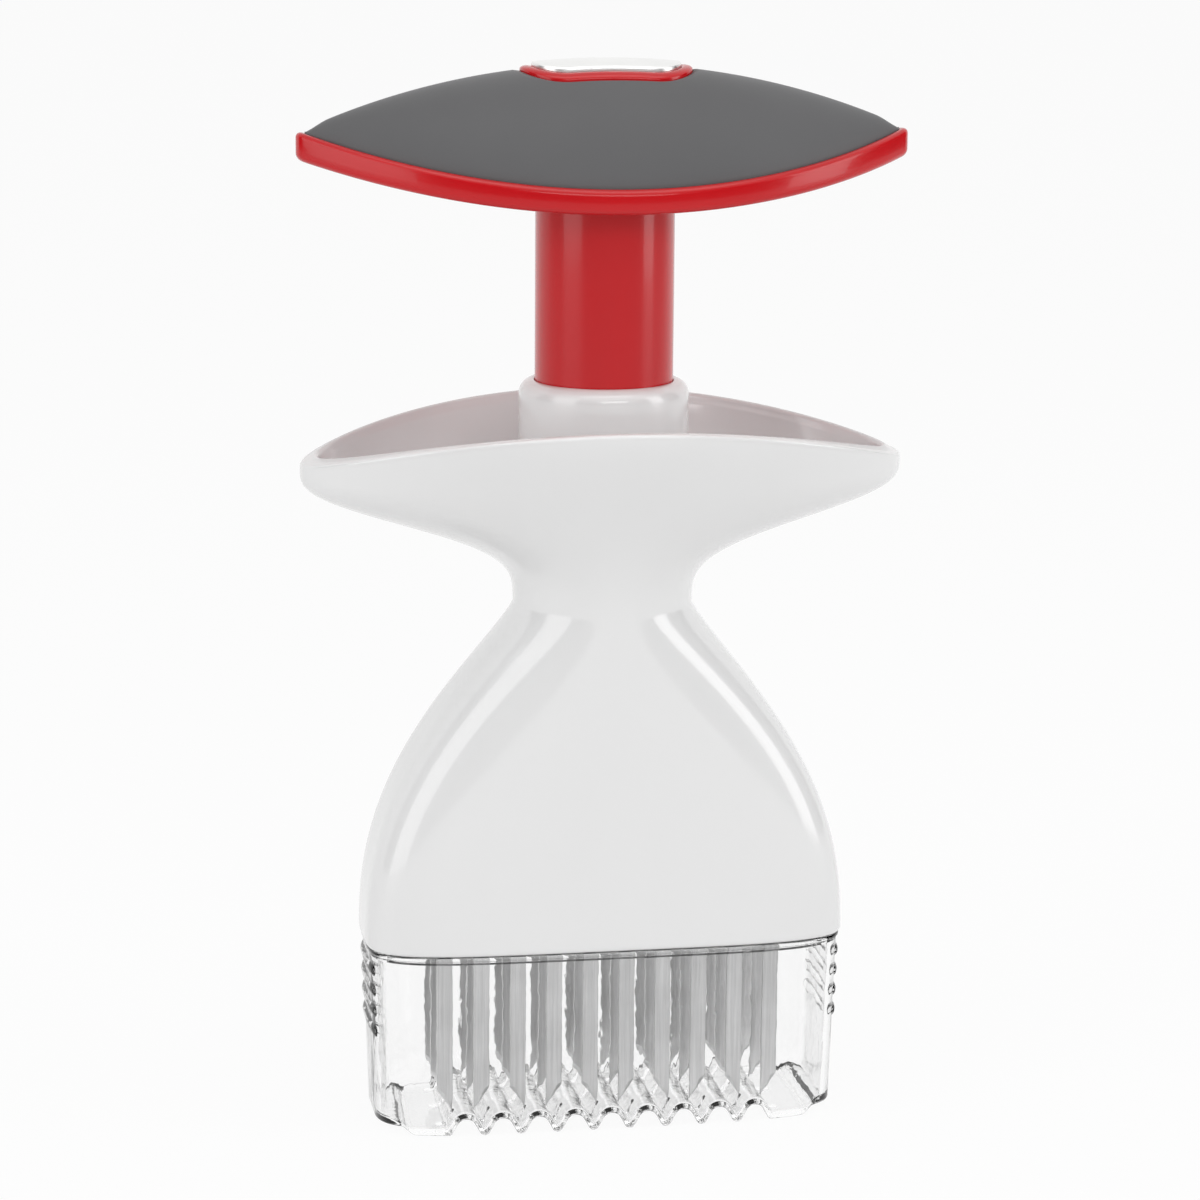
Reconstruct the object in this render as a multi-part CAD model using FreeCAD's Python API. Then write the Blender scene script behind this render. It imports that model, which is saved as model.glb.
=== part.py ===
"""Blade meat tenderizer: a spring-loaded plunger that drives thirty blades out of a clear guard.

Millimetres, +Z up. X runs along the wide side, -Y is the front, z = 0 is the guard's feet.
"""
import FreeCAD, Part
import os
from math import acos, atan2, cos, hypot, pi, sin, sqrt
from FreeCAD import Vector

# Driving dimensions of the white body
HOOD_HALF_LENGTH = 40.2
HOOD_HALF_DEPTH = 15.0
HOOD_BOTTOM = 31.2
HOOD_CORNER_POWER = 4.6
BODY_WALL = 2.0
NECK_RADIUS = 14.8
NECK_HEIGHT = 87.3
BOWL_HALF_LENGTH = 49.8
BOWL_HALF_DEPTH = 25.0
BOWL_TIP_HEIGHT = 110.2
BOWL_RIM_MID = 119.2
BOWL_RIM_TIP = 111.3
BOWL_WALL = 1.9
BOWL_TIP_POWER = 1.95
BOWL_TIP_EXTRA = 2.2
COLLAR_RADIUS = 13.9
COLLAR_TOP = 124.3
SHELF_BOTTOM = 74.0
SHELF_THICKNESS = 4.0

# Driving dimensions of the plunger
STROKE = 27.0
TUBE_RADIUS = 11.3
TUBE_WALL = 2.0
TUBE_CAP = 4.0
ROD_RADIUS = 4.5
HEAD_HALF_LENGTH = 50.0
HEAD_HALF_DEPTH = 22.0
HEAD_TIP_RADIUS = 3.0
HEAD_UNDERSIDE = 153.3
HEAD_TIP_LIFT = 7.1
RIM_BAND = 4.0
RIM_TIP_EXTRA = 0.6
RIM_WIDTH = 1.4
CREST_HEIGHT = 175.3
CREST_TIP_DROP = 10.7
DOME_POWER = 0.75
PAD_THICKNESS = 2.0
PAD_SINK = 1.2
SHELL_WALL = 2.2
BASE_THICKNESS = 2.0
SOCKET_WALL = 2.4
SOCKET_DEPTH = 6.0

# Badge and its island
ISLAND_HALF_LENGTH = 14.0
ISLAND_HALF_DEPTH = 7.5
ISLAND_RIM = 1.8
ISLAND_RISE = 0.3
BADGE_RISE = 1.0
BADGE_THICKNESS = 1.8

# Blades and what holds them
COLUMNS = 10
TOOTH_PITCH = 6.1
ROW_SPACING = 8.5
BLADE_WIDTH = 2.6
BLADE_THICKNESS = 0.7
BLADE_TIP = 3.0
BLADE_POINT = 3.6
BLADE_HEAD_WIDTH = 4.2
BLADE_HEAD_HEIGHT = 2.0
CARRIER_HALF_LENGTH = 33.0
CARRIER_HALF_DEPTH = 11.0
CARRIER_BOTTOM = 38.0
CARRIER_HEIGHT = 14.0
CLAMP_HALF_LENGTH = 28.0
CLAMP_THICKNESS = 3.0
CLAMP_BOSS_RADIUS = 8.5

# Spring and seats
WIRE_RADIUS = 0.6
COIL_RADIUS = 7.9
COIL_TURNS = 14
SEAT_THICKNESS = 1.5
BUSH_RADIUS = 6.5

# Screws
SMALL_SCREW_RADIUS = 1.2
SMALL_HEAD_RADIUS = 2.2
SMALL_HEAD_HEIGHT = 1.6
LOW_HEAD_HEIGHT = 0.96
LARGE_SCREW_RADIUS = 1.8
LARGE_HEAD_RADIUS = 3.2
LARGE_HEAD_HEIGHT = 2.2
CARRIER_SCREW_REACH = 9.0
ROD_SCREW_REACH = 12.0
BASE_SCREW_X = 25.0
BASE_SCREW_Y = 6.0
BASE_SCREW_REACH = 5.0
POST_RADIUS = 3.0
HEX_KEY = 1.1

# Guard
GUARD_WALL = 1.2
GUARD_INSET = 0.6
GUARD_DRAFT = 0.9
GUARD_RIM_HEIGHT = 6.0
FLANGE_THICKNESS = 0.8
FLOOR_THICKNESS = 0.8
ARCH_HEIGHT = 2.8
ARCH_RADIUS = 1.6
TOOTH_RADIUS = 0.95
SLOT_ROOM = 0.35
FOOT_WIDTH = 6.4
FOOT_ROUND = 1.4
GRIP_HALF_DEPTH = 8.0
GRIP_TOP = 28.6
GRIP_PITCH = 3.5
GRIP_RIBS = 4
GRIP_RIB_RADIUS = 1.1
GRIP_RIB_PROUD = 0.55
BUMP_LENGTH = 10.0
BUMP_PROUD = 0.2
BUMP_RADIUS = 1.0

# Clearances
RUNNING_FIT = 0.05
ROD_FIT = 0.04
SEATED_FIT = 0.05
SLIDE_GAP = 0.3
BED_GAP = 0.1
STOP_GAP = 0.2
BLIND_ROOM = 0.5

# Numbers of the smooth outlines
SECTION_POINTS = 64
FINE_STEPS = 720
HOOD_LEVELS = 12
BOWL_LEVELS = 10
RIM_LEVELS = 4
HOLLOW_LEVELS = 10
DOME_STATIONS = 15
HOOD_CURVE = (2.3, 1.25)
BOWL_CURVE = (3.3, 3.6)
BOWL_DEPTH_CURVE = (2.0, 1.6)
DOME_POINTS = 13
DOME_END_GAP = 0.25
LEAST_RISE = 0.3
LEAST_TIP = 0.6
LIP_SHARE = 0.9

# Places that follow from the sizes above
SHELF_TOP = SHELF_BOTTOM + SHELF_THICKNESS
BORE_RADIUS = TUBE_RADIUS + RUNNING_FIT
TUBE_BOTTOM = SHELF_TOP + STROKE + STOP_GAP
TUBE_BORE = TUBE_RADIUS - TUBE_WALL
SOCKET_BOTTOM = HEAD_UNDERSIDE + BASE_THICKNESS + BED_GAP
TUBE_TOP = SOCKET_BOTTOM + SOCKET_DEPTH
SEAT_RADIUS = COIL_RADIUS + 2 * WIRE_RADIUS
SPRING_TOP = TUBE_TOP - TUBE_CAP - SEAT_THICKNESS
SPRING_BOTTOM = SHELF_TOP + SEAT_THICKNESS
CARRIER_TOP = CARRIER_BOTTOM + CARRIER_HEIGHT
CLAMP_TOP = CARRIER_TOP + CLAMP_THICKNESS
BOSS_TOP = SHELF_BOTTOM - STOP_GAP
ROD_BOTTOM = CLAMP_TOP
GUARD_TOP = HOOD_BOTTOM + GUARD_RIM_HEIGHT
BADGE_HALF_LENGTH = ISLAND_HALF_LENGTH - ISLAND_RIM
BADGE_HALF_DEPTH = ISLAND_HALF_DEPTH - ISLAND_RIM
BADGE_FLOOR = CREST_HEIGHT + BADGE_RISE - BADGE_THICKNESS - ISLAND_RIM
ROWS = {"front": -ROW_SPACING, "middle": 0.0, "back": ROW_SPACING}


def solid(shape):
    """The shape as one solid, or as a compound of solids where it holds several."""
    shape = shape.removeSplitter()
    if len(shape.Solids) == 1:
        return shape.Solids[0]
    return Part.makeCompound(shape.Solids)


def cylinder(radius, low, high, x=0.0, y=0.0):
    """An upright cylinder between two heights."""
    return Part.makeCylinder(radius, high - low, Vector(x, y, low))


def block(x0, x1, y0, y1, z0, z1):
    """A box between two corners."""
    return Part.makeBox(x1 - x0, y1 - y0, z1 - z0, Vector(x0, y0, z0))


def oval_points(half_length, half_depth, power_x, power_y, z):
    """Points of |x/a|^p + |y/b|^q = 1, spaced by arc length and turning together."""
    fine = []
    for i in range(FINE_STEPS):
        t = 2 * pi * i / FINE_STEPS
        c, s = cos(t), sin(t)
        x = half_length * (1 if c >= 0 else -1) * abs(c) ** (2 / power_x)
        y = half_depth * (1 if s >= 0 else -1) * abs(s) ** (2 / power_y)
        fine.append((x, y))
    steps = [(fine[(i + 1) % FINE_STEPS][0] - p[0], fine[(i + 1) % FINE_STEPS][1] - p[1])
             for i, p in enumerate(fine)]
    lengths = [hypot(*step) for step in steps]
    total = sum(lengths)
    travel = [0.0]
    for i, step in enumerate(steps):
        ahead = steps[(i + 1) % FINE_STEPS]
        turn = abs(atan2(step[0] * ahead[1] - step[1] * ahead[0], step[0] * ahead[0] + step[1] * ahead[1]))
        travel.append(travel[-1] + lengths[i] / total + turn / (2 * pi))
    points = []
    i = 0
    for k in range(SECTION_POINTS):
        goal = travel[-1] * k / SECTION_POINTS
        while travel[i + 1] < goal:
            i += 1
        share = (goal - travel[i]) / max(travel[i + 1] - travel[i], 1e-12)
        start, end = fine[i], fine[(i + 1) % FINE_STEPS]
        points.append(Vector(start[0] + share * (end[0] - start[0]), start[1] + share * (end[1] - start[1]), z))
    return points


def oval_wire(half_length, half_depth, power_x, power_y, z):
    """A closed smooth outline, with the same parameters at every height so that outlines loft cleanly."""
    points = oval_points(half_length, half_depth, power_x, power_y, z)
    curve = Part.BSplineCurve()
    curve.interpolate(Points=points, PeriodicFlag=True, Parameters=list(range(len(points) + 1)))
    return Part.Wire([curve.toShape()])


def oval_prism(half_length, half_depth, power, low, high):
    """An upright prism on a rounded rectangle."""
    face = Part.Face(oval_wire(half_length, half_depth, power, power, low))
    return face.extrude(Vector(0, 0, high - low))


def lens_radius(half_length, half_depth, tip):
    """Radius of the two long arcs of a pointed oval with round tips."""
    return (half_length ** 2 - 2 * half_length * tip + half_depth ** 2) / (2 * (half_depth - tip))


def lens_depth(x, half_length, half_depth, tip):
    """Half depth of the pointed oval at x."""
    side = lens_radius(half_length, half_depth, tip)
    x = min(abs(x), half_length)
    joint = (half_length - tip) * side / (side - tip)
    if x < joint:
        return sqrt(side ** 2 - x ** 2) - (side - half_depth)
    return sqrt(max(tip ** 2 - (x - half_length + tip) ** 2, 0.0))


def lens_prism(half_length, half_depth, tip, low, high):
    """An upright prism on the pointed oval, made of four tangent arcs."""
    side = lens_radius(half_length, half_depth, tip)
    joint_x = (half_length - tip) * side / (side - tip)
    joint_y = lens_depth(joint_x, half_length, half_depth, tip)
    corners = [Vector(joint_x, joint_y, low), Vector(-joint_x, joint_y, low),
               Vector(-joint_x, -joint_y, low), Vector(joint_x, -joint_y, low)]
    middles = [Vector(0, half_depth, low), Vector(-half_length, 0, low),
               Vector(0, -half_depth, low), Vector(half_length, 0, low)]
    edges = [Part.Arc(corners[i], middles[i], corners[(i + 1) % 4]).toShape() for i in range(4)]
    return Part.Face(Part.Wire(edges)).extrude(Vector(0, 0, high - low))


def pill_prism(half_length, half_depth, low, high):
    """An upright prism on a stadium outline."""
    flat = half_length - half_depth
    ends = [Vector(-flat, -half_depth, low), Vector(flat, -half_depth, low),
            Vector(flat, half_depth, low), Vector(-flat, half_depth, low)]
    edges = [Part.LineSegment(ends[0], ends[1]).toShape(),
             Part.Arc(ends[1], Vector(half_length, 0, low), ends[2]).toShape(),
             Part.LineSegment(ends[2], ends[3]).toShape(),
             Part.Arc(ends[3], Vector(-half_length, 0, low), ends[0]).toShape()]
    return Part.Face(Part.Wire(edges)).extrude(Vector(0, 0, high - low))


def arched_slab(reach, depth, low_mid, low_tip, high_mid, high_tip):
    """A slab along Y whose lower and upper faces are arcs over X, given at the middle and at x = reach."""
    low = [Vector(-reach, -depth, low_tip), Vector(0, -depth, low_mid), Vector(reach, -depth, low_tip)]
    high = [Vector(reach, -depth, high_tip), Vector(0, -depth, high_mid), Vector(-reach, -depth, high_tip)]
    edges = [Part.Arc(*low).toShape(), Part.LineSegment(low[2], high[0]).toShape(),
             Part.Arc(*high).toShape(), Part.LineSegment(high[2], low[0]).toShape()]
    return Part.Face(Part.Wire(edges)).extrude(Vector(0, 2 * depth, 0))


def arc_height(x, mid, tip, reach):
    """Height at x of the arc that has the height mid at x = 0 and tip at x = reach."""
    rise = tip - mid
    radius = (reach ** 2 + rise ** 2) / (2 * abs(rise))
    drop = radius - sqrt(radius ** 2 - x ** 2)
    return mid + (drop if rise > 0 else -drop)


def hood_share(z):
    """How far the body has opened from neck to hood at a height: 0 at the neck, 1 at the hood's edge."""
    t = min(max((z - HOOD_BOTTOM) / (NECK_HEIGHT - HOOD_BOTTOM), 0.0), 1.0)
    return (1 - t ** HOOD_CURVE[0]) ** HOOD_CURVE[1]


def bowl_share(z, top, curve):
    """How far the bowl has opened from the neck at a height: 0 at the neck, 1 at top."""
    t = min(max((z - NECK_HEIGHT) / (top - NECK_HEIGHT), 0.0), 1.0)
    return 1 - (1 - t ** curve[0]) ** curve[1]


def body_section(z):
    """Half length, half depth and the two powers of the white body's outline at a height."""
    if z <= NECK_HEIGHT:
        share = hood_share(z)
        power = 2 + (HOOD_CORNER_POWER - 2) * share
        return (NECK_RADIUS + (HOOD_HALF_LENGTH - NECK_RADIUS) * share,
                NECK_RADIUS + (HOOD_HALF_DEPTH - NECK_RADIUS) * share, power, power)
    along = bowl_share(z, BOWL_TIP_HEIGHT, BOWL_CURVE)
    across = bowl_share(z, BOWL_RIM_MID, BOWL_DEPTH_CURVE)
    return (NECK_RADIUS + (BOWL_HALF_LENGTH - NECK_RADIUS) * along,
            NECK_RADIUS + (BOWL_HALF_DEPTH - NECK_RADIUS) * across, 2.0, 2 + (BOWL_TIP_POWER - 2) * along)


def spaced(low, high, count):
    """Evenly spaced heights, both ends included."""
    return [low + (high - low) * i / (count - 1) for i in range(count)]


def body_outside():
    """The white body filled solid: hood, neck and bowl in one skin, cut along the bowl's arched rim."""
    heights = spaced(HOOD_BOTTOM, NECK_HEIGHT, HOOD_LEVELS)
    heights += spaced(NECK_HEIGHT, BOWL_TIP_HEIGHT, BOWL_LEVELS)[1:]
    heights += spaced(BOWL_TIP_HEIGHT, BOWL_RIM_MID + 1, RIM_LEVELS)[1:]
    skin = Part.makeLoft([oval_wire(*body_section(z), z) for z in heights], True, False)
    above = arched_slab(BOWL_HALF_LENGTH + 1, BOWL_HALF_DEPTH + 1, BOWL_RIM_MID, BOWL_RIM_TIP,
                        BOWL_RIM_MID + 10, BOWL_RIM_MID + 9)
    return skin.cut(above)


def bowl_hollow():
    """The inside of the finger bowl, one wall inside the outer skin."""
    floor = NECK_HEIGHT + 3 * BODY_WALL
    wires = []
    for z in spaced(floor, BOWL_RIM_MID + 2, HOLLOW_LEVELS):
        length, _, _, power = body_section(z - BOWL_WALL)
        depth = body_section(z)[1]
        opened = (length - NECK_RADIUS) / (BOWL_HALF_LENGTH - NECK_RADIUS)
        tip_wall = BOWL_WALL / 2 + BOWL_TIP_EXTRA * opened
        wires.append(oval_wire(length - tip_wall, depth - BOWL_WALL, 2.0, power, z))
    return Part.makeLoft(wires, True, False)


def hood_hollow():
    """The inside of the hood up to the shelf."""
    wires = []
    for z in spaced(HOOD_BOTTOM - 1, SHELF_BOTTOM, HOLLOW_LEVELS):
        length, depth, power, _ = body_section(z)
        wires.append(oval_wire(length - BODY_WALL, depth - BODY_WALL, power, power, z))
    return Part.makeLoft(wires, True, False)


def collar():
    """The upright collar with its fully rounded lip, over the axis of the tube."""
    lip = (COLLAR_RADIUS - BORE_RADIUS) * LIP_SHARE
    edge = COLLAR_RADIUS - lip
    points = [Vector(0, 0, NECK_HEIGHT), Vector(COLLAR_RADIUS, 0, NECK_HEIGHT),
              Vector(COLLAR_RADIUS, 0, COLLAR_TOP - lip), Vector(edge, 0, COLLAR_TOP), Vector(0, 0, COLLAR_TOP)]
    middle = Vector(edge + lip * cos(pi / 4), 0, COLLAR_TOP - lip + lip * sin(pi / 4))
    edges = [Part.LineSegment(points[0], points[1]).toShape(),
             Part.LineSegment(points[1], points[2]).toShape(),
             Part.Arc(points[2], middle, points[3]).toShape(),
             Part.LineSegment(points[3], points[4]).toShape(),
             Part.LineSegment(points[4], points[0]).toShape()]
    return Part.Face(Part.Wire(edges)).revolve(Vector(0, 0, 0), Vector(0, 0, 1), 360)


def body_shell():
    """Hood, neck, finger bowl and collar in one moulding, with a shelf in the neck."""
    shell = body_outside().cut(bowl_hollow()).fuse(collar())
    shell = shell.cut(hood_hollow())
    shell = shell.cut(cylinder(BORE_RADIUS, SHELF_TOP, COLLAR_TOP + 1))
    shell = shell.cut(cylinder(BUSH_RADIUS + SEATED_FIT, SHELF_BOTTOM - 1, SHELF_TOP + 1))
    return solid(shell)


def rod_bush():
    """Flanged bush in the shelf: it guides the push rod and seats the spring."""
    bush = cylinder(BUSH_RADIUS, SHELF_BOTTOM, SHELF_TOP).fuse(cylinder(SEAT_RADIUS, SHELF_TOP, SPRING_BOTTOM))
    return solid(bush.cut(cylinder(ROD_RADIUS + ROD_FIT, SHELF_BOTTOM - 1, SPRING_BOTTOM + 1)))


def upper_spring_seat():
    """Washer between the spring and the tube's closed top."""
    seat = cylinder(SEAT_RADIUS, SPRING_TOP, SPRING_TOP + SEAT_THICKNESS)
    return solid(seat.cut(cylinder(ROD_RADIUS + 2 * ROD_FIT, SPRING_TOP - 1, TUBE_TOP)))


def return_spring():
    """Helical spring around the push rod: a round wire along a helix of arcs, two for each turn."""
    low = SPRING_BOTTOM + WIRE_RADIUS + BED_GAP
    high = SPRING_TOP - WIRE_RADIUS - BED_GAP
    step = (high - low) / (4 * COIL_TURNS)

    def point(quarter):
        angle = quarter * pi / 2
        return Vector(COIL_RADIUS * cos(angle), COIL_RADIUS * sin(angle), low + step * quarter)

    edges = []
    for quarter in range(4 * COIL_TURNS):
        start, end = point(quarter), point(quarter + 1)
        middle = point(quarter + 0.5)
        edges.append(Part.Arc(start, middle, end).toShape())
    path = Part.Wire(edges)
    tangent = edges[0].tangentAt(edges[0].FirstParameter)
    ring = Part.Wire([Part.Circle(point(0), tangent, WIRE_RADIUS).toShape()])
    sweep = path.makePipeShell([ring], True, False)
    gap = 4 * step * cos(atan2(4 * step, 2 * pi * COIL_RADIUS)) - 2 * WIRE_RADIUS
    print("return_spring: least gap between turns %.2f mm" % gap)
    bent = pi * WIRE_RADIUS ** 2 * path.Length
    print("return_spring: volume %.1f, section times length %.1f" % (sweep.Volume, bent))
    return solid(sweep)


def plunger_tube():
    """Red tube, open below, closed above around the push rod."""
    tube = cylinder(TUBE_RADIUS, TUBE_BOTTOM, TUBE_TOP)
    tube = tube.cut(cylinder(TUBE_BORE, TUBE_BOTTOM - 1, TUBE_TOP - TUBE_CAP))
    return solid(tube.cut(cylinder(ROD_RADIUS + SEATED_FIT, TUBE_TOP - TUBE_CAP - 1, TUBE_TOP + 1)))


def push_rod():
    """Round rod from the clamp plate's boss to the head, threaded at both ends."""
    rod = cylinder(ROD_RADIUS, ROD_BOTTOM, TUBE_TOP)
    rod = rod.cut(cylinder(LARGE_SCREW_RADIUS + SEATED_FIT, ROD_BOTTOM - 1, ROD_BOTTOM + ROD_SCREW_REACH))
    return solid(rod.cut(cylinder(LARGE_SCREW_RADIUS + SEATED_FIT, TUBE_TOP - ROD_SCREW_REACH, TUBE_TOP + 1)))


def rim_top(x):
    """Height of the line between the grey pad and the red rim."""
    return arc_height(x, HEAD_UNDERSIDE + RIM_BAND, HEAD_UNDERSIDE + RIM_BAND + HEAD_TIP_LIFT + RIM_TIP_EXTRA,
                      HEAD_HALF_LENGTH)


def crest(x):
    """Height of the head's crest line."""
    return arc_height(x, CREST_HEIGHT, CREST_HEIGHT - CREST_TIP_DROP, HEAD_HALF_LENGTH)


def dome(inset, sink, base_drop):
    """The pad's dome, drawn in sideways by inset and lowered by sink, down to base_drop under the rim's top."""
    length = HEAD_HALF_LENGTH - RIM_WIDTH - inset
    depth = HEAD_HALF_DEPTH - RIM_WIDTH - inset
    tip = HEAD_TIP_RADIUS - RIM_WIDTH
    wires = []
    for place in spaced(-1, 1, DOME_STATIONS):
        x = (length - DOME_END_GAP) * sin(pi / 2 * place)
        half = lens_depth(x, length, depth, tip)
        base = rim_top(x)
        height = max(crest(x) - base - sink, LEAST_RISE)
        floor = base - base_drop
        points = []
        for v in spaced(-1, 1, DOME_POINTS):
            rise = height * abs(cos(pi / 2 * v)) ** (2 * DOME_POWER)
            points.append(Vector(x, half * sin(pi / 2 * v), base + rise))
        curve = Part.BSplineCurve()
        curve.interpolate(points)
        low_right, low_left = Vector(x, half, floor), Vector(x, -half, floor)
        edges = [curve.toShape(),
                 Part.LineSegment(points[-1], low_right).toShape(),
                 Part.LineSegment(low_right, low_left).toShape(),
                 Part.LineSegment(low_left, points[0]).toShape()]
        wires.append(Part.Wire(edges))
    return Part.makeLoft(wires, True, False)


def rim_slab(bottom_gap, top_drop):
    """Slab between the head's underside and the top of its rim."""
    low = HEAD_UNDERSIDE + bottom_gap
    high = HEAD_UNDERSIDE + RIM_BAND - top_drop
    return arched_slab(HEAD_HALF_LENGTH, HEAD_HALF_DEPTH + 1, low, low + HEAD_TIP_LIFT,
                       high, high + HEAD_TIP_LIFT + RIM_TIP_EXTRA)


def head_lens(inset):
    """Tall prism on the head's outline, drawn in by inset."""
    tip = max(HEAD_TIP_RADIUS - inset, LEAST_TIP)
    return lens_prism(HEAD_HALF_LENGTH - inset, HEAD_HALF_DEPTH - inset, tip,
                      HEAD_UNDERSIDE - 5, CREST_HEIGHT + 5)


def base_screw_places():
    """Plan places of the four screws that hold the head base."""
    return [(sx * BASE_SCREW_X, sy * BASE_SCREW_Y) for sx in (-1, 1) for sy in (-1, 1)]


def head_shell():
    """Red head: rim band, domed core under the pad, island for the badge, socket for the tube."""
    outside = rim_slab(0, 0).common(head_lens(0))
    outside = outside.cut(head_lens(RIM_WIDTH).common(rim_slab(RIM_BAND - PAD_SINK, -2)))
    core = dome(PAD_THICKNESS, PAD_THICKNESS, RIM_BAND)
    outside = outside.fuse(core.common(rim_slab(0, -30)))
    island = pill_prism(ISLAND_HALF_LENGTH, ISLAND_HALF_DEPTH, HEAD_UNDERSIDE + 8, CREST_HEIGHT + 5)
    island = island.common(dome(0, -ISLAND_RISE, RIM_BAND))
    hollow = dome(PAD_THICKNESS + SHELL_WALL, PAD_THICKNESS + SHELL_WALL, RIM_BAND)
    hollow = hollow.fuse(rim_slab(-1, 0).common(head_lens(RIM_WIDTH + SHELL_WALL)))
    inside_boss = cylinder(BORE_RADIUS + SOCKET_WALL, SOCKET_BOTTOM, CREST_HEIGHT).common(hollow)
    inside_boss = inside_boss.cut(base_slab(BED_GAP))
    posts = [cylinder(POST_RADIUS, post_bottom(x), CREST_HEIGHT, x, y) for x, y in base_screw_places()]
    shell = outside.cut(hollow).fuse([island, inside_boss] + [post.common(hollow) for post in posts])
    recess = pill_prism(BADGE_HALF_LENGTH + SEATED_FIT, BADGE_HALF_DEPTH + SEATED_FIT,
                        BADGE_FLOOR, CREST_HEIGHT + 5)
    shell = shell.cut(recess)
    shell = shell.cut(cylinder(BORE_RADIUS, SOCKET_BOTTOM - 1, TUBE_TOP))
    shell = shell.cut(cylinder(LARGE_SCREW_RADIUS + SEATED_FIT, TUBE_TOP - 1, BADGE_FLOOR + 1))
    head_seat = BADGE_FLOOR - LARGE_HEAD_HEIGHT
    shell = shell.cut(cylinder(LARGE_HEAD_RADIUS + SEATED_FIT, head_seat, BADGE_FLOOR + 1))
    for x, y in base_screw_places():
        low = post_bottom(x)
        shell = shell.cut(cylinder(SMALL_SCREW_RADIUS + SEATED_FIT, low - 1, low + BASE_SCREW_REACH, x, y))
    return solid(shell)


def post_bottom(x):
    """Height at which a post stands on the head base."""
    reach = abs(x) + POST_RADIUS
    top = HEAD_UNDERSIDE + BASE_THICKNESS
    return arc_height(reach, top, top + HEAD_TIP_LIFT, HEAD_HALF_LENGTH) + BED_GAP


def base_slab(room):
    """Slab of the head base's thickness, with room added above it."""
    low = HEAD_UNDERSIDE
    high = low + BASE_THICKNESS + room
    return arched_slab(HEAD_HALF_LENGTH, HEAD_HALF_DEPTH, low, low + HEAD_TIP_LIFT, high, high + HEAD_TIP_LIFT)


def head_base():
    """Red plate that closes the head from below, around the tube."""
    low = HEAD_UNDERSIDE
    plate = base_slab(0).common(head_lens(RIM_WIDTH + SHELL_WALL + SEATED_FIT))
    plate = plate.cut(cylinder(TUBE_RADIUS + SEATED_FIT, low - 1, low + 10))
    for x, y in base_screw_places():
        plate = plate.cut(cylinder(SMALL_SCREW_RADIUS + SEATED_FIT, low - 1, low + 10, x, y))
        plate = plate.cut(cylinder(SMALL_HEAD_RADIUS + SEATED_FIT, low - 1, base_head_top(x), x, y))
    return solid(plate)


def base_head_top(x):
    """Height of the face under a base screw's head."""
    reach = abs(x) - SMALL_HEAD_RADIUS
    return arc_height(reach, HEAD_UNDERSIDE, HEAD_UNDERSIDE + HEAD_TIP_LIFT, HEAD_HALF_LENGTH) + LOW_HEAD_HEIGHT


def screw(x, y, seat, reach, shank_radius, head_radius, head_height, up):
    """A screw whose head bears on the height seat and whose shank runs up or down for reach."""
    if up:
        head = cylinder(head_radius, seat - head_height, seat, x, y)
        shank = cylinder(shank_radius, seat, seat + reach, x, y)
        key = cylinder(HEX_KEY, seat - head_height - 1, seat - head_height / 2, x, y)
    else:
        head = cylinder(head_radius, seat, seat + head_height, x, y)
        shank = cylinder(shank_radius, seat - reach, seat, x, y)
        key = cylinder(HEX_KEY, seat + head_height / 2, seat + head_height + 1, x, y)
    return solid(head.fuse(shank).cut(key))


def base_screws():
    """Four screws from below through the head base into the posts."""
    screws = []
    for x, y in base_screw_places():
        seat = base_head_top(x)
        reach = post_bottom(x) + BASE_SCREW_REACH - BED_GAP - seat
        screws.append(screw(x, y, seat, reach, SMALL_SCREW_RADIUS, SMALL_HEAD_RADIUS, LOW_HEAD_HEIGHT, True))
    return Part.makeCompound(screws)


def head_screw():
    """Screw under the badge that ties the head to the push rod."""
    seat = BADGE_FLOOR - LARGE_HEAD_HEIGHT
    reach = seat - (TUBE_TOP - ROD_SCREW_REACH + 1)
    return screw(0, 0, seat, reach, LARGE_SCREW_RADIUS, LARGE_HEAD_RADIUS, LARGE_HEAD_HEIGHT - BED_GAP, False)


def palm_pad():
    """Grey soft skin over the core, let into the rim."""
    pad = dome(SEATED_FIT, 0, PAD_SINK - BED_GAP / 2)
    pad = pad.cut(dome(PAD_THICKNESS - SEATED_FIT, PAD_THICKNESS - SEATED_FIT, RIM_BAND + 2))
    hole = pill_prism(ISLAND_HALF_LENGTH + SEATED_FIT, ISLAND_HALF_DEPTH + SEATED_FIT,
                      HEAD_UNDERSIDE, CREST_HEIGHT + 5)
    return solid(pad.cut(hole))


def badge_plate():
    """Bare silver pill in the island, its face following the dome."""
    plate = pill_prism(BADGE_HALF_LENGTH, BADGE_HALF_DEPTH, BADGE_FLOOR, CREST_HEIGHT + 5)
    return solid(plate.common(dome(0, -BADGE_RISE, RIM_BAND)))


def blade_places():
    """Name, x, y and point side of every blade; the points alternate from one column to the next."""
    places = []
    for row, y in ROWS.items():
        for column in range(COLUMNS):
            x = (column - (COLUMNS - 1) / 2) * TOOTH_PITCH
            side = 1 if column % 2 == 0 else -1
            places.append(("blade_%s_%02d" % (row, column + 1), x, y, side))
    return places


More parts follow.
